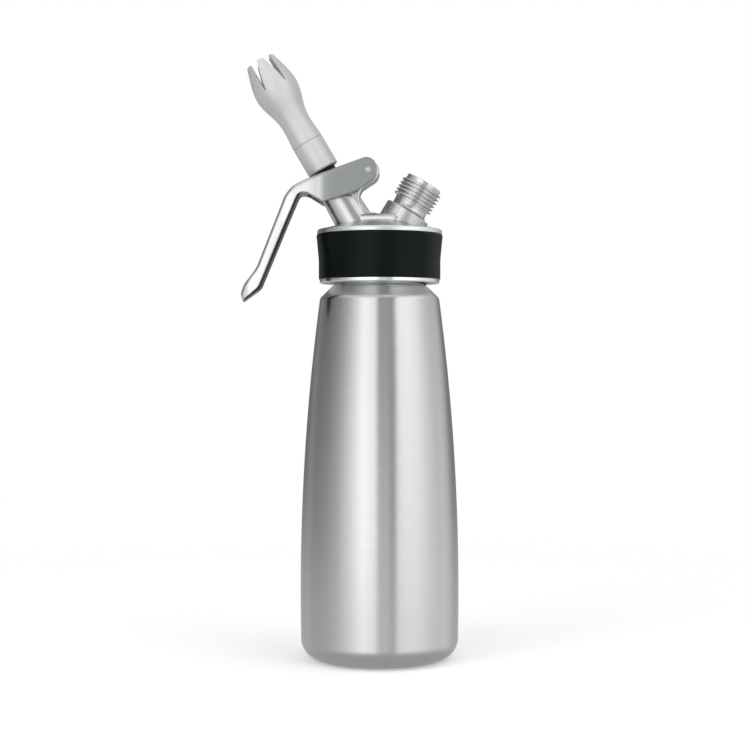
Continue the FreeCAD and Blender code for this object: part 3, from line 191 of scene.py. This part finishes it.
def make_studio():
    """World with upright sheets of light; the camera itself sees a plain white backdrop."""
    world = bpy.data.worlds.new("studio")
    world.use_nodes = True
    tree = world.node_tree
    tree.nodes.clear()
    direction = put(tree, "ShaderNodeTexCoord").outputs["Generated"]
    turned = put(tree, "ShaderNodeMapping", {"Vector": direction, "Rotation": (0, 0, math.radians(90))})
    bearing = put(tree, "ShaderNodeTexGradient", {"Vector": turned.outputs["Vector"]},
                  gradient_type="RADIAL").outputs["Fac"]
    height = split(tree, direction)["Z"]
    raised = sums(tree, "MAXIMUM", height, 0.0)
    off_middle = sums(tree, "SUBTRACT", bearing, RAMP_MIDDLE)
    leaned = sums(tree, "DIVIDE", off_middle, sums(tree, "MULTIPLY_ADD", raised, LEAN, 1.0))
    place = sums(tree, "ADD", leaned, RAMP_MIDDLE)
    climb = spread(tree, height, 0.0, CLIMB_TOP)
    level_sheets = sheet_ramp(tree, place, AT_HORIZON)
    room = blend_colours(tree, climb, level_sheets, sheet_ramp(tree, place, HIGHER_UP))
    below = sums(tree, "MULTIPLY", spread(tree, height, LOW_TO, LOW_FROM, 1.0, 0.0), LOW_SHARE)
    room = blend_colours(tree, below, room, grey(LOW_SHEET / RAMP_FULL))
    under = spread(tree, height, TABLE_TO, TABLE_FROM, 1.0, 0.0)
    room = blend_colours(tree, under, room, grey(TABLE_BRIGHTNESS / RAMP_FULL))
    above = spread(tree, height, SHEET_TOP, CEILING_FROM)
    room = blend_colours(tree, above, room, grey(CEILING_BRIGHTNESS / RAMP_FULL))
    sheets = put(tree, "ShaderNodeBackground", {"Color": room, "Strength": RAMP_FULL})
    plain = put(tree, "ShaderNodeBackground", {"Color": grey(1), "Strength": BACKDROP_BRIGHTNESS})
    seen = put(tree, "ShaderNodeLightPath").outputs["Is Camera Ray"]
    shown = put(tree, "ShaderNodeMixShader", {0: seen, 1: sheets.outputs[0], 2: plain.outputs[0]})
    put(tree, "ShaderNodeOutputWorld", {"Surface": shown.outputs[0]})
    bpy.context.scene.world = world
    return len(SHEETS)


print("sheet stops", make_studio())

# %% [markdown]
# The floor is a pale round table top. Its edge fades away, so no line shows where it ends. It
# glows a little, and a broad lamp from the upper left and a weaker one from the upper right
# lift it to near white, which leaves only a soft shadow where the bottle stands. The metal
# mirrors neither floor nor lamps, so its stripes are the sheets' alone.

# %% Floor and lamps
FLOOR_RADIUS = 0.55
FLOOR_FADE_FROM = 0.22
FLOOR_SIDES = 96
FLOOR_DROP = 0.0002
FLOOR_COLOUR = grey(0.93)
FLOOR_GLOW = 0.26
LAMPS = (  # name, place, side in metres, power in watts
    ("key_lamp", (-0.75, -0.65, 0.75), 0.6, 3.0),
    ("fill_lamp", (0.5, -0.5, 0.9), 0.8, 1.5),
)


def make_floor():
    """Pale round table top whose rim fades away."""
    material = bpy.data.materials.new("pale_table")
    material.use_nodes = True
    tree = material.node_tree
    tree.nodes.clear()
    place = put(tree, "ShaderNodeTexCoord").outputs["Object"]
    distance = put(tree, "ShaderNodeVectorMath", {0: place}, operation="LENGTH").outputs["Value"]
    solid = spread(tree, distance, FLOOR_FADE_FROM, FLOOR_RADIUS, 1.0, 0.0)
    surface = put(tree, "ShaderNodeBsdfPrincipled", {
        "Base Color": FLOOR_COLOUR, "Roughness": 0.6, "Emission Color": grey(1),
        "Emission Strength": FLOOR_GLOW, "Alpha": solid})
    put(tree, "ShaderNodeOutputMaterial", {"Surface": surface.outputs[0]})
    turns = [step * 2 * math.pi / FLOOR_SIDES for step in range(FLOOR_SIDES)]
    rim = [(FLOOR_RADIUS * math.cos(turn), FLOOR_RADIUS * math.sin(turn), 0) for turn in turns]
    mesh = bpy.data.meshes.new("table_top")
    mesh.from_pydata(rim, [], [tuple(range(FLOOR_SIDES))])
    mesh.materials.append(material)
    table = bpy.data.objects.new("table_top", mesh)
    table.location = (0, 0, -FLOOR_DROP)
    table.visible_glossy = False
    bpy.context.scene.collection.objects.link(table)


def make_lamp(name, place, size, power):
    """Broad square lamp that looks at the middle of the dispenser and isn't mirrored in it."""
    light = bpy.data.lights.new(name, "AREA")
    light.size = size
    light.energy = power
    lamp = bpy.data.objects.new(name, light)
    lamp.location = place
    aim = Vector((0, 0, CAMERA_HEIGHT)) - Vector(place)
    lamp.rotation_euler = aim.to_track_quat("-Z", "Y").to_euler()
    lamp.visible_glossy = False
    bpy.context.scene.collection.objects.link(lamp)


make_floor()
for lamp in LAMPS:
    make_lamp(*lamp)
print("lamps", [lamp[0] for lamp in LAMPS])

# %% [markdown]
# ## Shared effects
#
# Several finishes need the same three effects, so each is made once as a node group with named
# inputs. *Brushed lines* stretches noise into long fine scratches that run round an axis or
# along one. *Cast grain* is the fine mottle of a blasted surface. *Handled smudges* varies the
# polish in broad soft patches, as hands and cloths do.

# %% Effect groups
NOISE_MIDDLE = 0.5
PATCH_FROM = 0.35
PATCH_TO = 0.7


def new_group(name, inputs, outputs):
    """Empty shader group with named sockets; its tree, its way in and its way out."""
    tree = bpy.data.node_groups.new(name, "ShaderNodeTree")
    for label, kind, value in inputs:
        socket = tree.interface.new_socket(label, in_out="INPUT", socket_type="NodeSocket" + kind)
        socket.default_value = value
    for label, kind in outputs:
        tree.interface.new_socket(label, in_out="OUTPUT", socket_type="NodeSocket" + kind)
    way_in = tree.nodes.new("NodeGroupInput").outputs
    way_out = tree.nodes.new("NodeGroupOutput").inputs
    return tree, way_in, way_out


def round_one(tree, noise, strength):
    """Noise as a shade that varies round one."""
    centred = sums(tree, "SUBTRACT", noise, NOISE_MIDDLE)
    return sums(tree, "ADD", sums(tree, "MULTIPLY", centred, strength), 1.0)


def make_brushed_lines():
    """Scratches: noise squeezed along the lines and crowded across them."""
    tree, given, made = new_group(
        "brushed_lines",
        (("Place", "Vector", (0, 0, 0)), ("Stretch", "Vector", (30, 30, 2500)), ("Strength", "Float", 0.1)),
        (("Shade", "Float"), ("Height", "Float")))
    scaled = put(tree, "ShaderNodeVectorMath", {0: given["Place"], 1: given["Stretch"]},
                 operation="MULTIPLY")
    fine = put(tree, "ShaderNodeTexNoise", {"Vector": scaled.outputs[0], "Scale": 1.0, "Detail": 3.0,
                                            "Roughness": 0.7}).outputs["Fac"]
    join(tree, made["Shade"], round_one(tree, fine, given["Strength"]))
    join(tree, made["Height"], fine)
    return tree


def make_cast_grain():
    """Fine mottle of a blasted or cast surface."""
    tree, given, made = new_group(
        "cast_grain",
        (("Place", "Vector", (0, 0, 0)), ("Grain Size", "Float", 0.0006), ("Strength", "Float", 0.1)),
        (("Shade", "Float"), ("Height", "Float")))
    scale = sums(tree, "DIVIDE", 1.0, given["Grain Size"])
    noise = put(tree, "ShaderNodeTexNoise", {"Vector": given["Place"], "Scale": scale, "Detail": 2.0,
                                             "Roughness": 0.6}).outputs["Fac"]
    join(tree, made["Shade"], round_one(tree, noise, given["Strength"]))
    join(tree, made["Height"], noise)
    return tree


def make_smudges():
    """Broad soft patches, for polish that handling has dulled unevenly."""
    tree, given, made = new_group(
        "handled_smudges",
        (("Place", "Vector", (0, 0, 0)), ("Patch Size", "Float", 0.02), ("Base", "Float", 0.1),
         ("Change", "Float", 0.05)),
        (("Roughness", "Float"),))
    scale = sums(tree, "DIVIDE", 1.0, given["Patch Size"])
    noise = put(tree, "ShaderNodeTexNoise", {"Vector": given["Place"], "Scale": scale, "Detail": 4.0,
                                             "Roughness": 0.6}).outputs["Fac"]
    patch = spread(tree, noise, PATCH_FROM, PATCH_TO)
    dulled = sums(tree, "MULTIPLY", patch, given["Change"])
    join(tree, made["Roughness"], sums(tree, "ADD", given["Base"], dulled))
    return tree


brushed_lines = make_brushed_lines()
cast_grain = make_cast_grain()
handled_smudges = make_smudges()
print("groups", [tree.name for tree in (brushed_lines, cast_grain, handled_smudges)])

# %% [markdown]
# ## Starting a finish
#
# Each finish starts the same way: a Principled surface, its place on the piece, and a slightly
# rounded normal. The Bevel node bends the light round sharp edges, as the tiny radius that
# every real edge has would do, without a change to the mesh. The fixed values of the surface
# are given by the names of its sockets, in lower case and with underscores.

# %% Finish starter
def start_finish(name, edge_radius, **fixed):
    """New material: its tree, Principled node, object coordinates and edge-rounded normal."""
    material = bpy.data.materials.new(name)
    material.use_nodes = True
    tree = material.node_tree
    tree.nodes.clear()
    surface = put(tree, "ShaderNodeBsdfPrincipled")
    for label, value in fixed.items():
        surface.inputs[label.replace("_", " ").title().replace("Ior", "IOR")].default_value = value
    put(tree, "ShaderNodeOutputMaterial", {"Surface": surface.outputs[0]})
    place = put(tree, "ShaderNodeTexCoord").outputs["Object"]
    rounded = put(tree, "ShaderNodeBevel", {"Radius": edge_radius}, samples=6).outputs[0]
    return material, tree, surface, place, rounded


def use_group(tree, group, **inputs):
    """Place a shared effect; its outputs."""
    item = tree.nodes.new("ShaderNodeGroup")
    item.node_tree = group
    for label, value in inputs.items():
        join(tree, item.inputs[label.replace("_", " ")], value)
    return item.outputs


def shade_colour(tree, colour, shade):
    """A colour made lighter or darker by a value round one."""
    return put(tree, "ShaderNodeVectorMath", {0: colour, "Scale": shade}, operation="SCALE").outputs[0]


def on_piece(tree, normal):
    """A normal as the piece itself has it, so that a mask made from it turns with the piece."""
    return put(tree, "ShaderNodeVectorTransform", {"Vector": normal}, vector_type="NORMAL",
               convert_from="WORLD", convert_to="OBJECT").outputs[0]


def bump(tree, height, normal, distance):
    """Small relief on top of a normal."""
    return put(tree, "ShaderNodeBump", {"Height": height, "Normal": normal, "Distance": distance,
                                        "Strength": 1.0}).outputs[0]


def cover(tree, surface, colour, roughness, normal):
    """Join a finish's colour, roughness and normal to its surface."""
    join(tree, surface.inputs["Base Color"], colour)
    join(tree, surface.inputs["Roughness"], roughness)
    join(tree, surface.inputs["Normal"], normal)


# %% [markdown]
# ## Satin steel
#
# The bottle is finished on a lathe with fine abrasive, so its scratches run round it. Light is
# thrown up and down by them and hardly sideways, which is why its stripes are sharp at the
# sides yet long and smooth. Anisotropy does this: the surface is rough along one direction and
# smooth along the other.

# %% Satin steel
STEEL_COLOUR = (0.63, 0.64, 0.64)


def make_satin_steel():
    """Lathe-brushed steel of the bottle and its thread."""
    material, tree, surface, place, rounded = start_finish(
        "satin_steel", 0.0003, metallic=1.0, anisotropic=0.75, anisotropic_rotation=0.25)
    tangent = put(tree, "ShaderNodeTangent", direction_type="RADIAL", axis="Z")
    join(tree, surface.inputs["Tangent"], tangent.outputs[0])
    lines = use_group(tree, brushed_lines, Place=place, Stretch=(14, 14, 1400), Strength=0.10)
    smudge = use_group(tree, handled_smudges, Place=place, Patch_Size=0.05, Base=0.20, Change=0.03)
    cover(tree, surface, shade_colour(tree, STEEL_COLOUR, lines["Shade"]), smudge["Roughness"],
          bump(tree, lines["Height"], rounded, 0.00001))
    return material


satin_steel = make_satin_steel()
print("made", satin_steel.name)

# %% [markdown]
# ## Cast and polished steel
#
# The head is an investment casting, blasted to an even satin. Only the rim of its disc is
# turned, and its lighter colour is partly that finish and partly a painted highlight of its
# rounded edge. The lever shows two finishes at once: satin on the flat cheeks and polish on
# everything rounded. Masks made from the place on the piece switch between them, with limits in
# metres from the middle of the bottle's base.
#
# The side of the handle that faces the bottle mirrors the black band and its own shadow, so that
# reflection and shade are painted into its colour as a near-black. That mask comes from the way
# the surface faces. A normal is a direction in the room, so it is first turned into the piece's
# own frame; without that, the painted dark side would stay behind when the head is unscrewed.

# %% Cast and polished steel
POLISH_COLOUR = (0.74, 0.75, 0.75)
RIM_FROM = 0.0300
RIM_TO = 0.0308
RIM_TOP = 0.2230
RIM_CREST = 0.2224
RIM_ROUGHNESS = 0.36
RIM_TURNED_AND_HIGHLIGHT_COLOUR = (0.86, 0.87, 0.87)


def make_cast_steel():
    """Even satin of the blasted casting, with the turned rim of its disc lightened partly by a painted
    highlight.
    """
    material, tree, surface, place, rounded = start_finish("cast_steel", 0.0004, metallic=1.0)
    grain = use_group(tree, cast_grain, Place=place, Grain_Size=0.0005, Strength=0.10)
    smudge = use_group(tree, handled_smudges, Place=place, Patch_Size=0.02, Base=0.24, Change=0.05)
    x, y, z = split(tree, place)
    flat = put(tree, "ShaderNodeCombineXYZ", {"X": x, "Y": y}).outputs[0]
    outward = put(tree, "ShaderNodeVectorMath", {0: flat}, operation="LENGTH").outputs["Value"]
    outer_edge = spread(tree, outward, RIM_FROM, RIM_TO)
    rim = sums(tree, "MULTIPLY", outer_edge, spread(tree, z, RIM_TOP, RIM_CREST))
    # The rim is lighter partly for its turned finish and partly as a painted highlight of the light its
    # rounded edge catches.
    colour = blend_colours(tree, rim, (*STEEL_COLOUR, 1), (*RIM_TURNED_AND_HIGHLIGHT_COLOUR, 1))
    rough = put(tree, "ShaderNodeMix", {"Factor": rim, "A": smudge["Roughness"], "B": RIM_ROUGHNESS})
    cover(tree, surface, shade_colour(tree, colour, grain["Shade"]), rough.outputs[0],
          bump(tree, grain["Height"], rounded, 0.00001))
    return material


def make_polished_steel(name, colour, roughness=0.08):
    """Turned and polished steel with faint smudges."""
    material, tree, surface, place, rounded = start_finish(name, 0.0002, metallic=1.0)
    lines = use_group(tree, brushed_lines, Place=place, Stretch=(60, 60, 1800), Strength=0.05)
    smudge = use_group(tree, handled_smudges, Place=place, Patch_Size=0.012, Base=roughness, Change=0.05)
    cover(tree, surface, shade_colour(tree, colour, lines["Shade"]), smudge["Roughness"], rounded)
    return material


CHEEK_COLOUR = (0.36, 0.375, 0.375)
CHEEK_ROUGHNESS = 0.38
CHEEK_ROUND_Y = 0.0085
CHEEK_FACE_Y = 0.01325
CHEEK_ENDS_X = -0.041
CHEEK_STARTS_X = -0.023
GRIP_PAINTED_SHADE_COLOUR = (0.05, 0.055, 0.055)
GRIP_SIDE = (0.90, 0.0, -0.43)
GRIP_SIDE_SPREAD = 0.0030
GRIP_FACING_FROM = 0.10
GRIP_FACING_TO = 0.30
GRIP_STARTS_X = -0.028
GRIP_FULL_X = -0.033


def make_lever_steel():
    """Polished steel, satin on the cheeks' outer faces, with painted shade and reflection dark on the grip
    side.
    """
    material, tree, surface, place, rounded = start_finish("lever_steel", 0.0003, metallic=1.0)
    x, y, _ = split(tree, place)
    near_pivot = spread(tree, x, CHEEK_ENDS_X, CHEEK_STARTS_X)
    wide = spread(tree, sums(tree, "ABSOLUTE", y), CHEEK_ROUND_Y, CHEEK_FACE_Y)
    satin = sums(tree, "MULTIPLY", near_pivot, wide, clamp=True)
    grain = use_group(tree, cast_grain, Place=place, Grain_Size=0.0004, Strength=0.08)
    colour = blend_colours(tree, satin, (*POLISH_COLOUR, 1), (*CHEEK_COLOUR, 1))
    # Painted shade and reflection: the grip side's colour is darkened to stand in for the black band
    # mirrored there and the handle's own shadow.
    soft = put(tree, "ShaderNodeBevel", {"Radius": GRIP_SIDE_SPREAD}, samples=8).outputs[0]
    facing = put(tree, "ShaderNodeVectorMath", {0: on_piece(tree, soft), 1: GRIP_SIDE},
                 operation="DOT_PRODUCT").outputs["Value"]
    faces_bottle = spread(tree, facing, GRIP_FACING_FROM, GRIP_FACING_TO)
    painted_grip_shade = sums(tree, "MULTIPLY", faces_bottle, spread(tree, x, GRIP_STARTS_X, GRIP_FULL_X))
    colour = blend_colours(tree, painted_grip_shade, colour, (*GRIP_PAINTED_SHADE_COLOUR, 1))
    smudge = use_group(tree, handled_smudges, Place=place, Patch_Size=0.02, Base=0.10, Change=0.05)
    rough = put(tree, "ShaderNodeMix", {"Factor": satin, "A": smudge["Roughness"], "B": CHEEK_ROUGHNESS})
    cover(tree, surface, shade_colour(tree, colour, grain["Shade"]), rough.outputs[0], rounded)
    return material


cast_steel = make_cast_steel()
polished_steel = make_polished_steel("polished_steel", POLISH_COLOUR)
turned_steel = make_polished_steel("turned_steel", (0.93, 0.94, 0.94), 0.16)
thread_steel = make_polished_steel("thread_steel", (0.70, 0.71, 0.71), 0.12)
lever_steel = make_lever_steel()
print("made", cast_steel.name, polished_steel.name, turned_steel.name, thread_steel.name, lever_steel.name)

# %% [markdown]
# ## Silicone, rubber and plastic
#
# The grip band is near-black silicone with a skin so fine that it shows only a broad dim sheen.
# The nozzle is milky plastic: some light goes in and comes out again a little way off, which
# softens its shading, so it gets a little subsurface scattering. The side towards the front is
# painted a little lighter than the flanks, a painted highlight that stands in for the room
# shining through the wall from behind. That belongs to the room and not to the piece, so here
# the normal isn't turned.

# %% Soft materials and plastics
BLACK_SKIN = (0.0008, 0.0016, 0.0018)
SKIN_SHEEN = 0.15
SKIN_TINT = (0.82, 1.0, 1.0, 1)


def make_soft_black(name, colour, roughness):
    """Near-black silicone or seal rubber with a fine skin."""
    material, tree, surface, place, rounded = start_finish(
        name, 0.0005, specular_ior_level=SKIN_SHEEN, specular_tint=SKIN_TINT)
    grain = use_group(tree, cast_grain, Place=place, Grain_Size=0.0004, Strength=0.3)
    smudge = use_group(tree, handled_smudges, Place=place, Patch_Size=0.03, Base=roughness, Change=0.06)
    cover(tree, surface, shade_colour(tree, colour, grain["Shade"]), smudge["Roughness"],
          bump(tree, grain["Height"], rounded, 0.00002))
    return material


FRONT = (0.05, -1.0, 0.05)
FRONT_FROM = 0.72
EVEN_SCATTER = (1.0, 1.0, 1.0)


def make_plastic(name, colour, roughness, milkiness_and_highlight, gloss=0.5):
    """Moulded plastic, more or less milky, with a painted highlight on the side towards the front."""
    material, tree, surface, place, rounded = start_finish(
        name, 0.0003, subsurface_weight=milkiness_and_highlight, subsurface_scale=0.002, subsurface_radius=EVEN_SCATTER,
        specular_ior_level=gloss)
    grain = use_group(tree, cast_grain, Place=place, Grain_Size=0.0008, Strength=0.04)
    # Painted highlight: the colour is lightened where the surface faces the front, as much more as the
    # plastic is milky.
    facing = put(tree, "ShaderNodeVectorMath", {0: rounded, 1: FRONT},
                 operation="DOT_PRODUCT").outputs["Value"]
    painted_front_highlight = sums(tree, "MULTIPLY", spread(tree, facing, FRONT_FROM, 1.0), milkiness_and_highlight)
    grain_and_painted_highlight = sums(tree, "ADD", grain["Shade"], painted_front_highlight)
    smudge = use_group(tree, handled_smudges, Place=place, Patch_Size=0.015, Base=roughness, Change=0.08)
    cover(tree, surface, shade_colour(tree, colour, grain_and_painted_highlight), smudge["Roughness"],
          bump(tree, grain["Height"], rounded, 0.00001))
    return material


black_silicone = make_soft_black("black_silicone", BLACK_SKIN, 0.30)
black_rubber = make_soft_black("black_rubber", (0.010, 0.010, 0.010), 0.5)
red_silicone = make_plastic("red_silicone", (0.50, 0.05, 0.04), 0.45, 0.1)
white_plastic = make_plastic("white_plastic", (0.45, 0.46, 0.46), 0.27, 0.34, 1.0)
white_bush = make_plastic("white_bush", (0.72, 0.72, 0.70), 0.35, 0.1)
brass = make_polished_steel("turned_brass", (0.72, 0.53, 0.26))
print("made", black_silicone.name, white_plastic.name, brass.name)

# %% [markdown]
# ## Dressing the parts
#
# Each CAD part keeps its mesh and only changes its material. One list says which finish goes
# where, so the whole object can be read at a glance.

# %% Dress the CAD parts
FINISHES = (
    (satin_steel, ("bottle_shell",)),
    (cast_steel, ("head_casting",)),
    (polished_steel, ("pivot_pin", "nozzle_adapter", "valve_stem", "stem_collar", "piercing_needle",
                      "return_spring")),
    (turned_steel, ("cap_sleeve",)),
    (thread_steel, ("charger_inlet",)),
    (lever_steel, ("lever",)),
    (black_silicone, ("grip_band",)),
    (black_rubber, ("nozzle_ring", "valve_seal", "stem_ring_lower", "stem_ring_upper", "inlet_gasket",
                    "charger_seal")),
    (red_silicone, ("head_gasket", "check_valve_sleeve")),
    (white_plastic, ("decorator_nozzle",)),
    (white_bush, ("pivot_bush_near", "pivot_bush_far", "valve_seat", "stem_guide_bush")),
    (brass, ("needle_holder",)),
)
for finish, names in FINISHES:
    for name in names:
        for slot in nodes[name].material_slots:
            slot.material = finish
dressed = sum(len(names) for _, names in FINISHES)
print("dressed", dressed, "of", len(nodes))

# %% [markdown]
# ## The return spring
#
# A coil follows a rule, so Geometry Nodes draw it: a spiral curve, a round wire swept along
# it, and a tilt onto the tower's axis. The real spring shortens when the lever is squeezed.
# Heights on the spring are counted along that axis, from where it crosses the bottle's.

# %% Return spring
TOWER_TILT = math.radians(30.6)
TOWER_ORIGIN = Vector((0, 0, 0.2042))
TOWER_AXIS = Vector((-math.sin(TOWER_TILT), 0, math.cos(TOWER_TILT)))
SPRING_FOOT = 0.033
SPRING_HEAD = 0.047
SPRING_RADIUS = 0.00475
SPRING_WIRE = 0.0005
SPRING_TURNS = 5.0
STEPS_PER_TURN = 40
WIRE_SIDES = 12


def make_spring_tree():
    """Coil of round wire on the tower's axis, with every size a named input."""
    tree = bpy.data.node_groups.new("coil_spring", "GeometryNodeTree")
    sizes = (("Turns", SPRING_TURNS), ("Radius", SPRING_RADIUS), ("Wire", SPRING_WIRE),
             ("Height", SPRING_HEAD - SPRING_FOOT - 2 * SPRING_WIRE))
    for label, value in sizes:
        socket = tree.interface.new_socket(label, in_out="INPUT", socket_type="NodeSocketFloat")
        socket.default_value = value
    tree.interface.new_socket("Finish", in_out="INPUT", socket_type="NodeSocketMaterial")
    tree.interface.new_socket("Geometry", in_out="OUTPUT", socket_type="NodeSocketGeometry")
    given = tree.nodes.new("NodeGroupInput").outputs
    made = tree.nodes.new("NodeGroupOutput").inputs
    spiral = put(tree, "GeometryNodeCurveSpiral", {
        "Resolution": STEPS_PER_TURN, "Rotations": given["Turns"], "Start Radius": given["Radius"],
        "End Radius": given["Radius"], "Height": given["Height"]})
    wire = put(tree, "GeometryNodeCurvePrimitiveCircle", {
        "Resolution": WIRE_SIDES, "Radius": given["Wire"]}, mode="RADIUS")
    coil = put(tree, "GeometryNodeCurveToMesh", {
        "Curve": spiral.outputs[0], "Profile Curve": wire.outputs[0], "Fill Caps": True})
    smooth = put(tree, "GeometryNodeSetShadeSmooth", {"Geometry": coil.outputs[0], "Shade Smooth": True})
    foot = TOWER_ORIGIN + TOWER_AXIS * (SPRING_FOOT + SPRING_WIRE)
    tilted = put(tree, "GeometryNodeTransform", {"Geometry": smooth.outputs[0], "Translation": foot,
                                                 "Rotation": (0, -TOWER_TILT, 0)})
    real = put(tree, "GeometryNodeRealizeInstances", {"Geometry": tilted.outputs[0]})
    coated = put(tree, "GeometryNodeSetMaterial", {
        "Geometry": real.outputs[0], "Material": given["Finish"]})
    join(tree, made["Geometry"], coated.outputs[0])
    return tree


def bake_tree(name, tree, finish):
    """Run a geometry tree on an empty mesh; a plain mesh object with the result."""
    carrier = bpy.data.objects.new(name + "_tree", bpy.data.meshes.new(name + "_tree"))
    bpy.context.scene.collection.objects.link(carrier)
    modifier = carrier.modifiers.new("tree", "NODES")
    modifier.node_group = tree
    for item in tree.interface.items_tree:
        if item.in_out == "INPUT" and item.name == "Finish":
            modifier[item.identifier] = finish
    evaluated = carrier.evaluated_get(bpy.context.evaluated_depsgraph_get())
    mesh = bpy.data.meshes.new_from_object(evaluated)
    mesh.name = name
    bpy.data.objects.remove(carrier)
    piece = bpy.data.objects.new(name, mesh)
    bpy.context.scene.collection.objects.link(piece)
    return piece


spring = bake_tree("coil_spring", make_spring_tree(), polished_steel)
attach(spring, "head")
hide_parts("return_spring")
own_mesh(spring)
print("spring", len(spring.data.polygons), "faces")
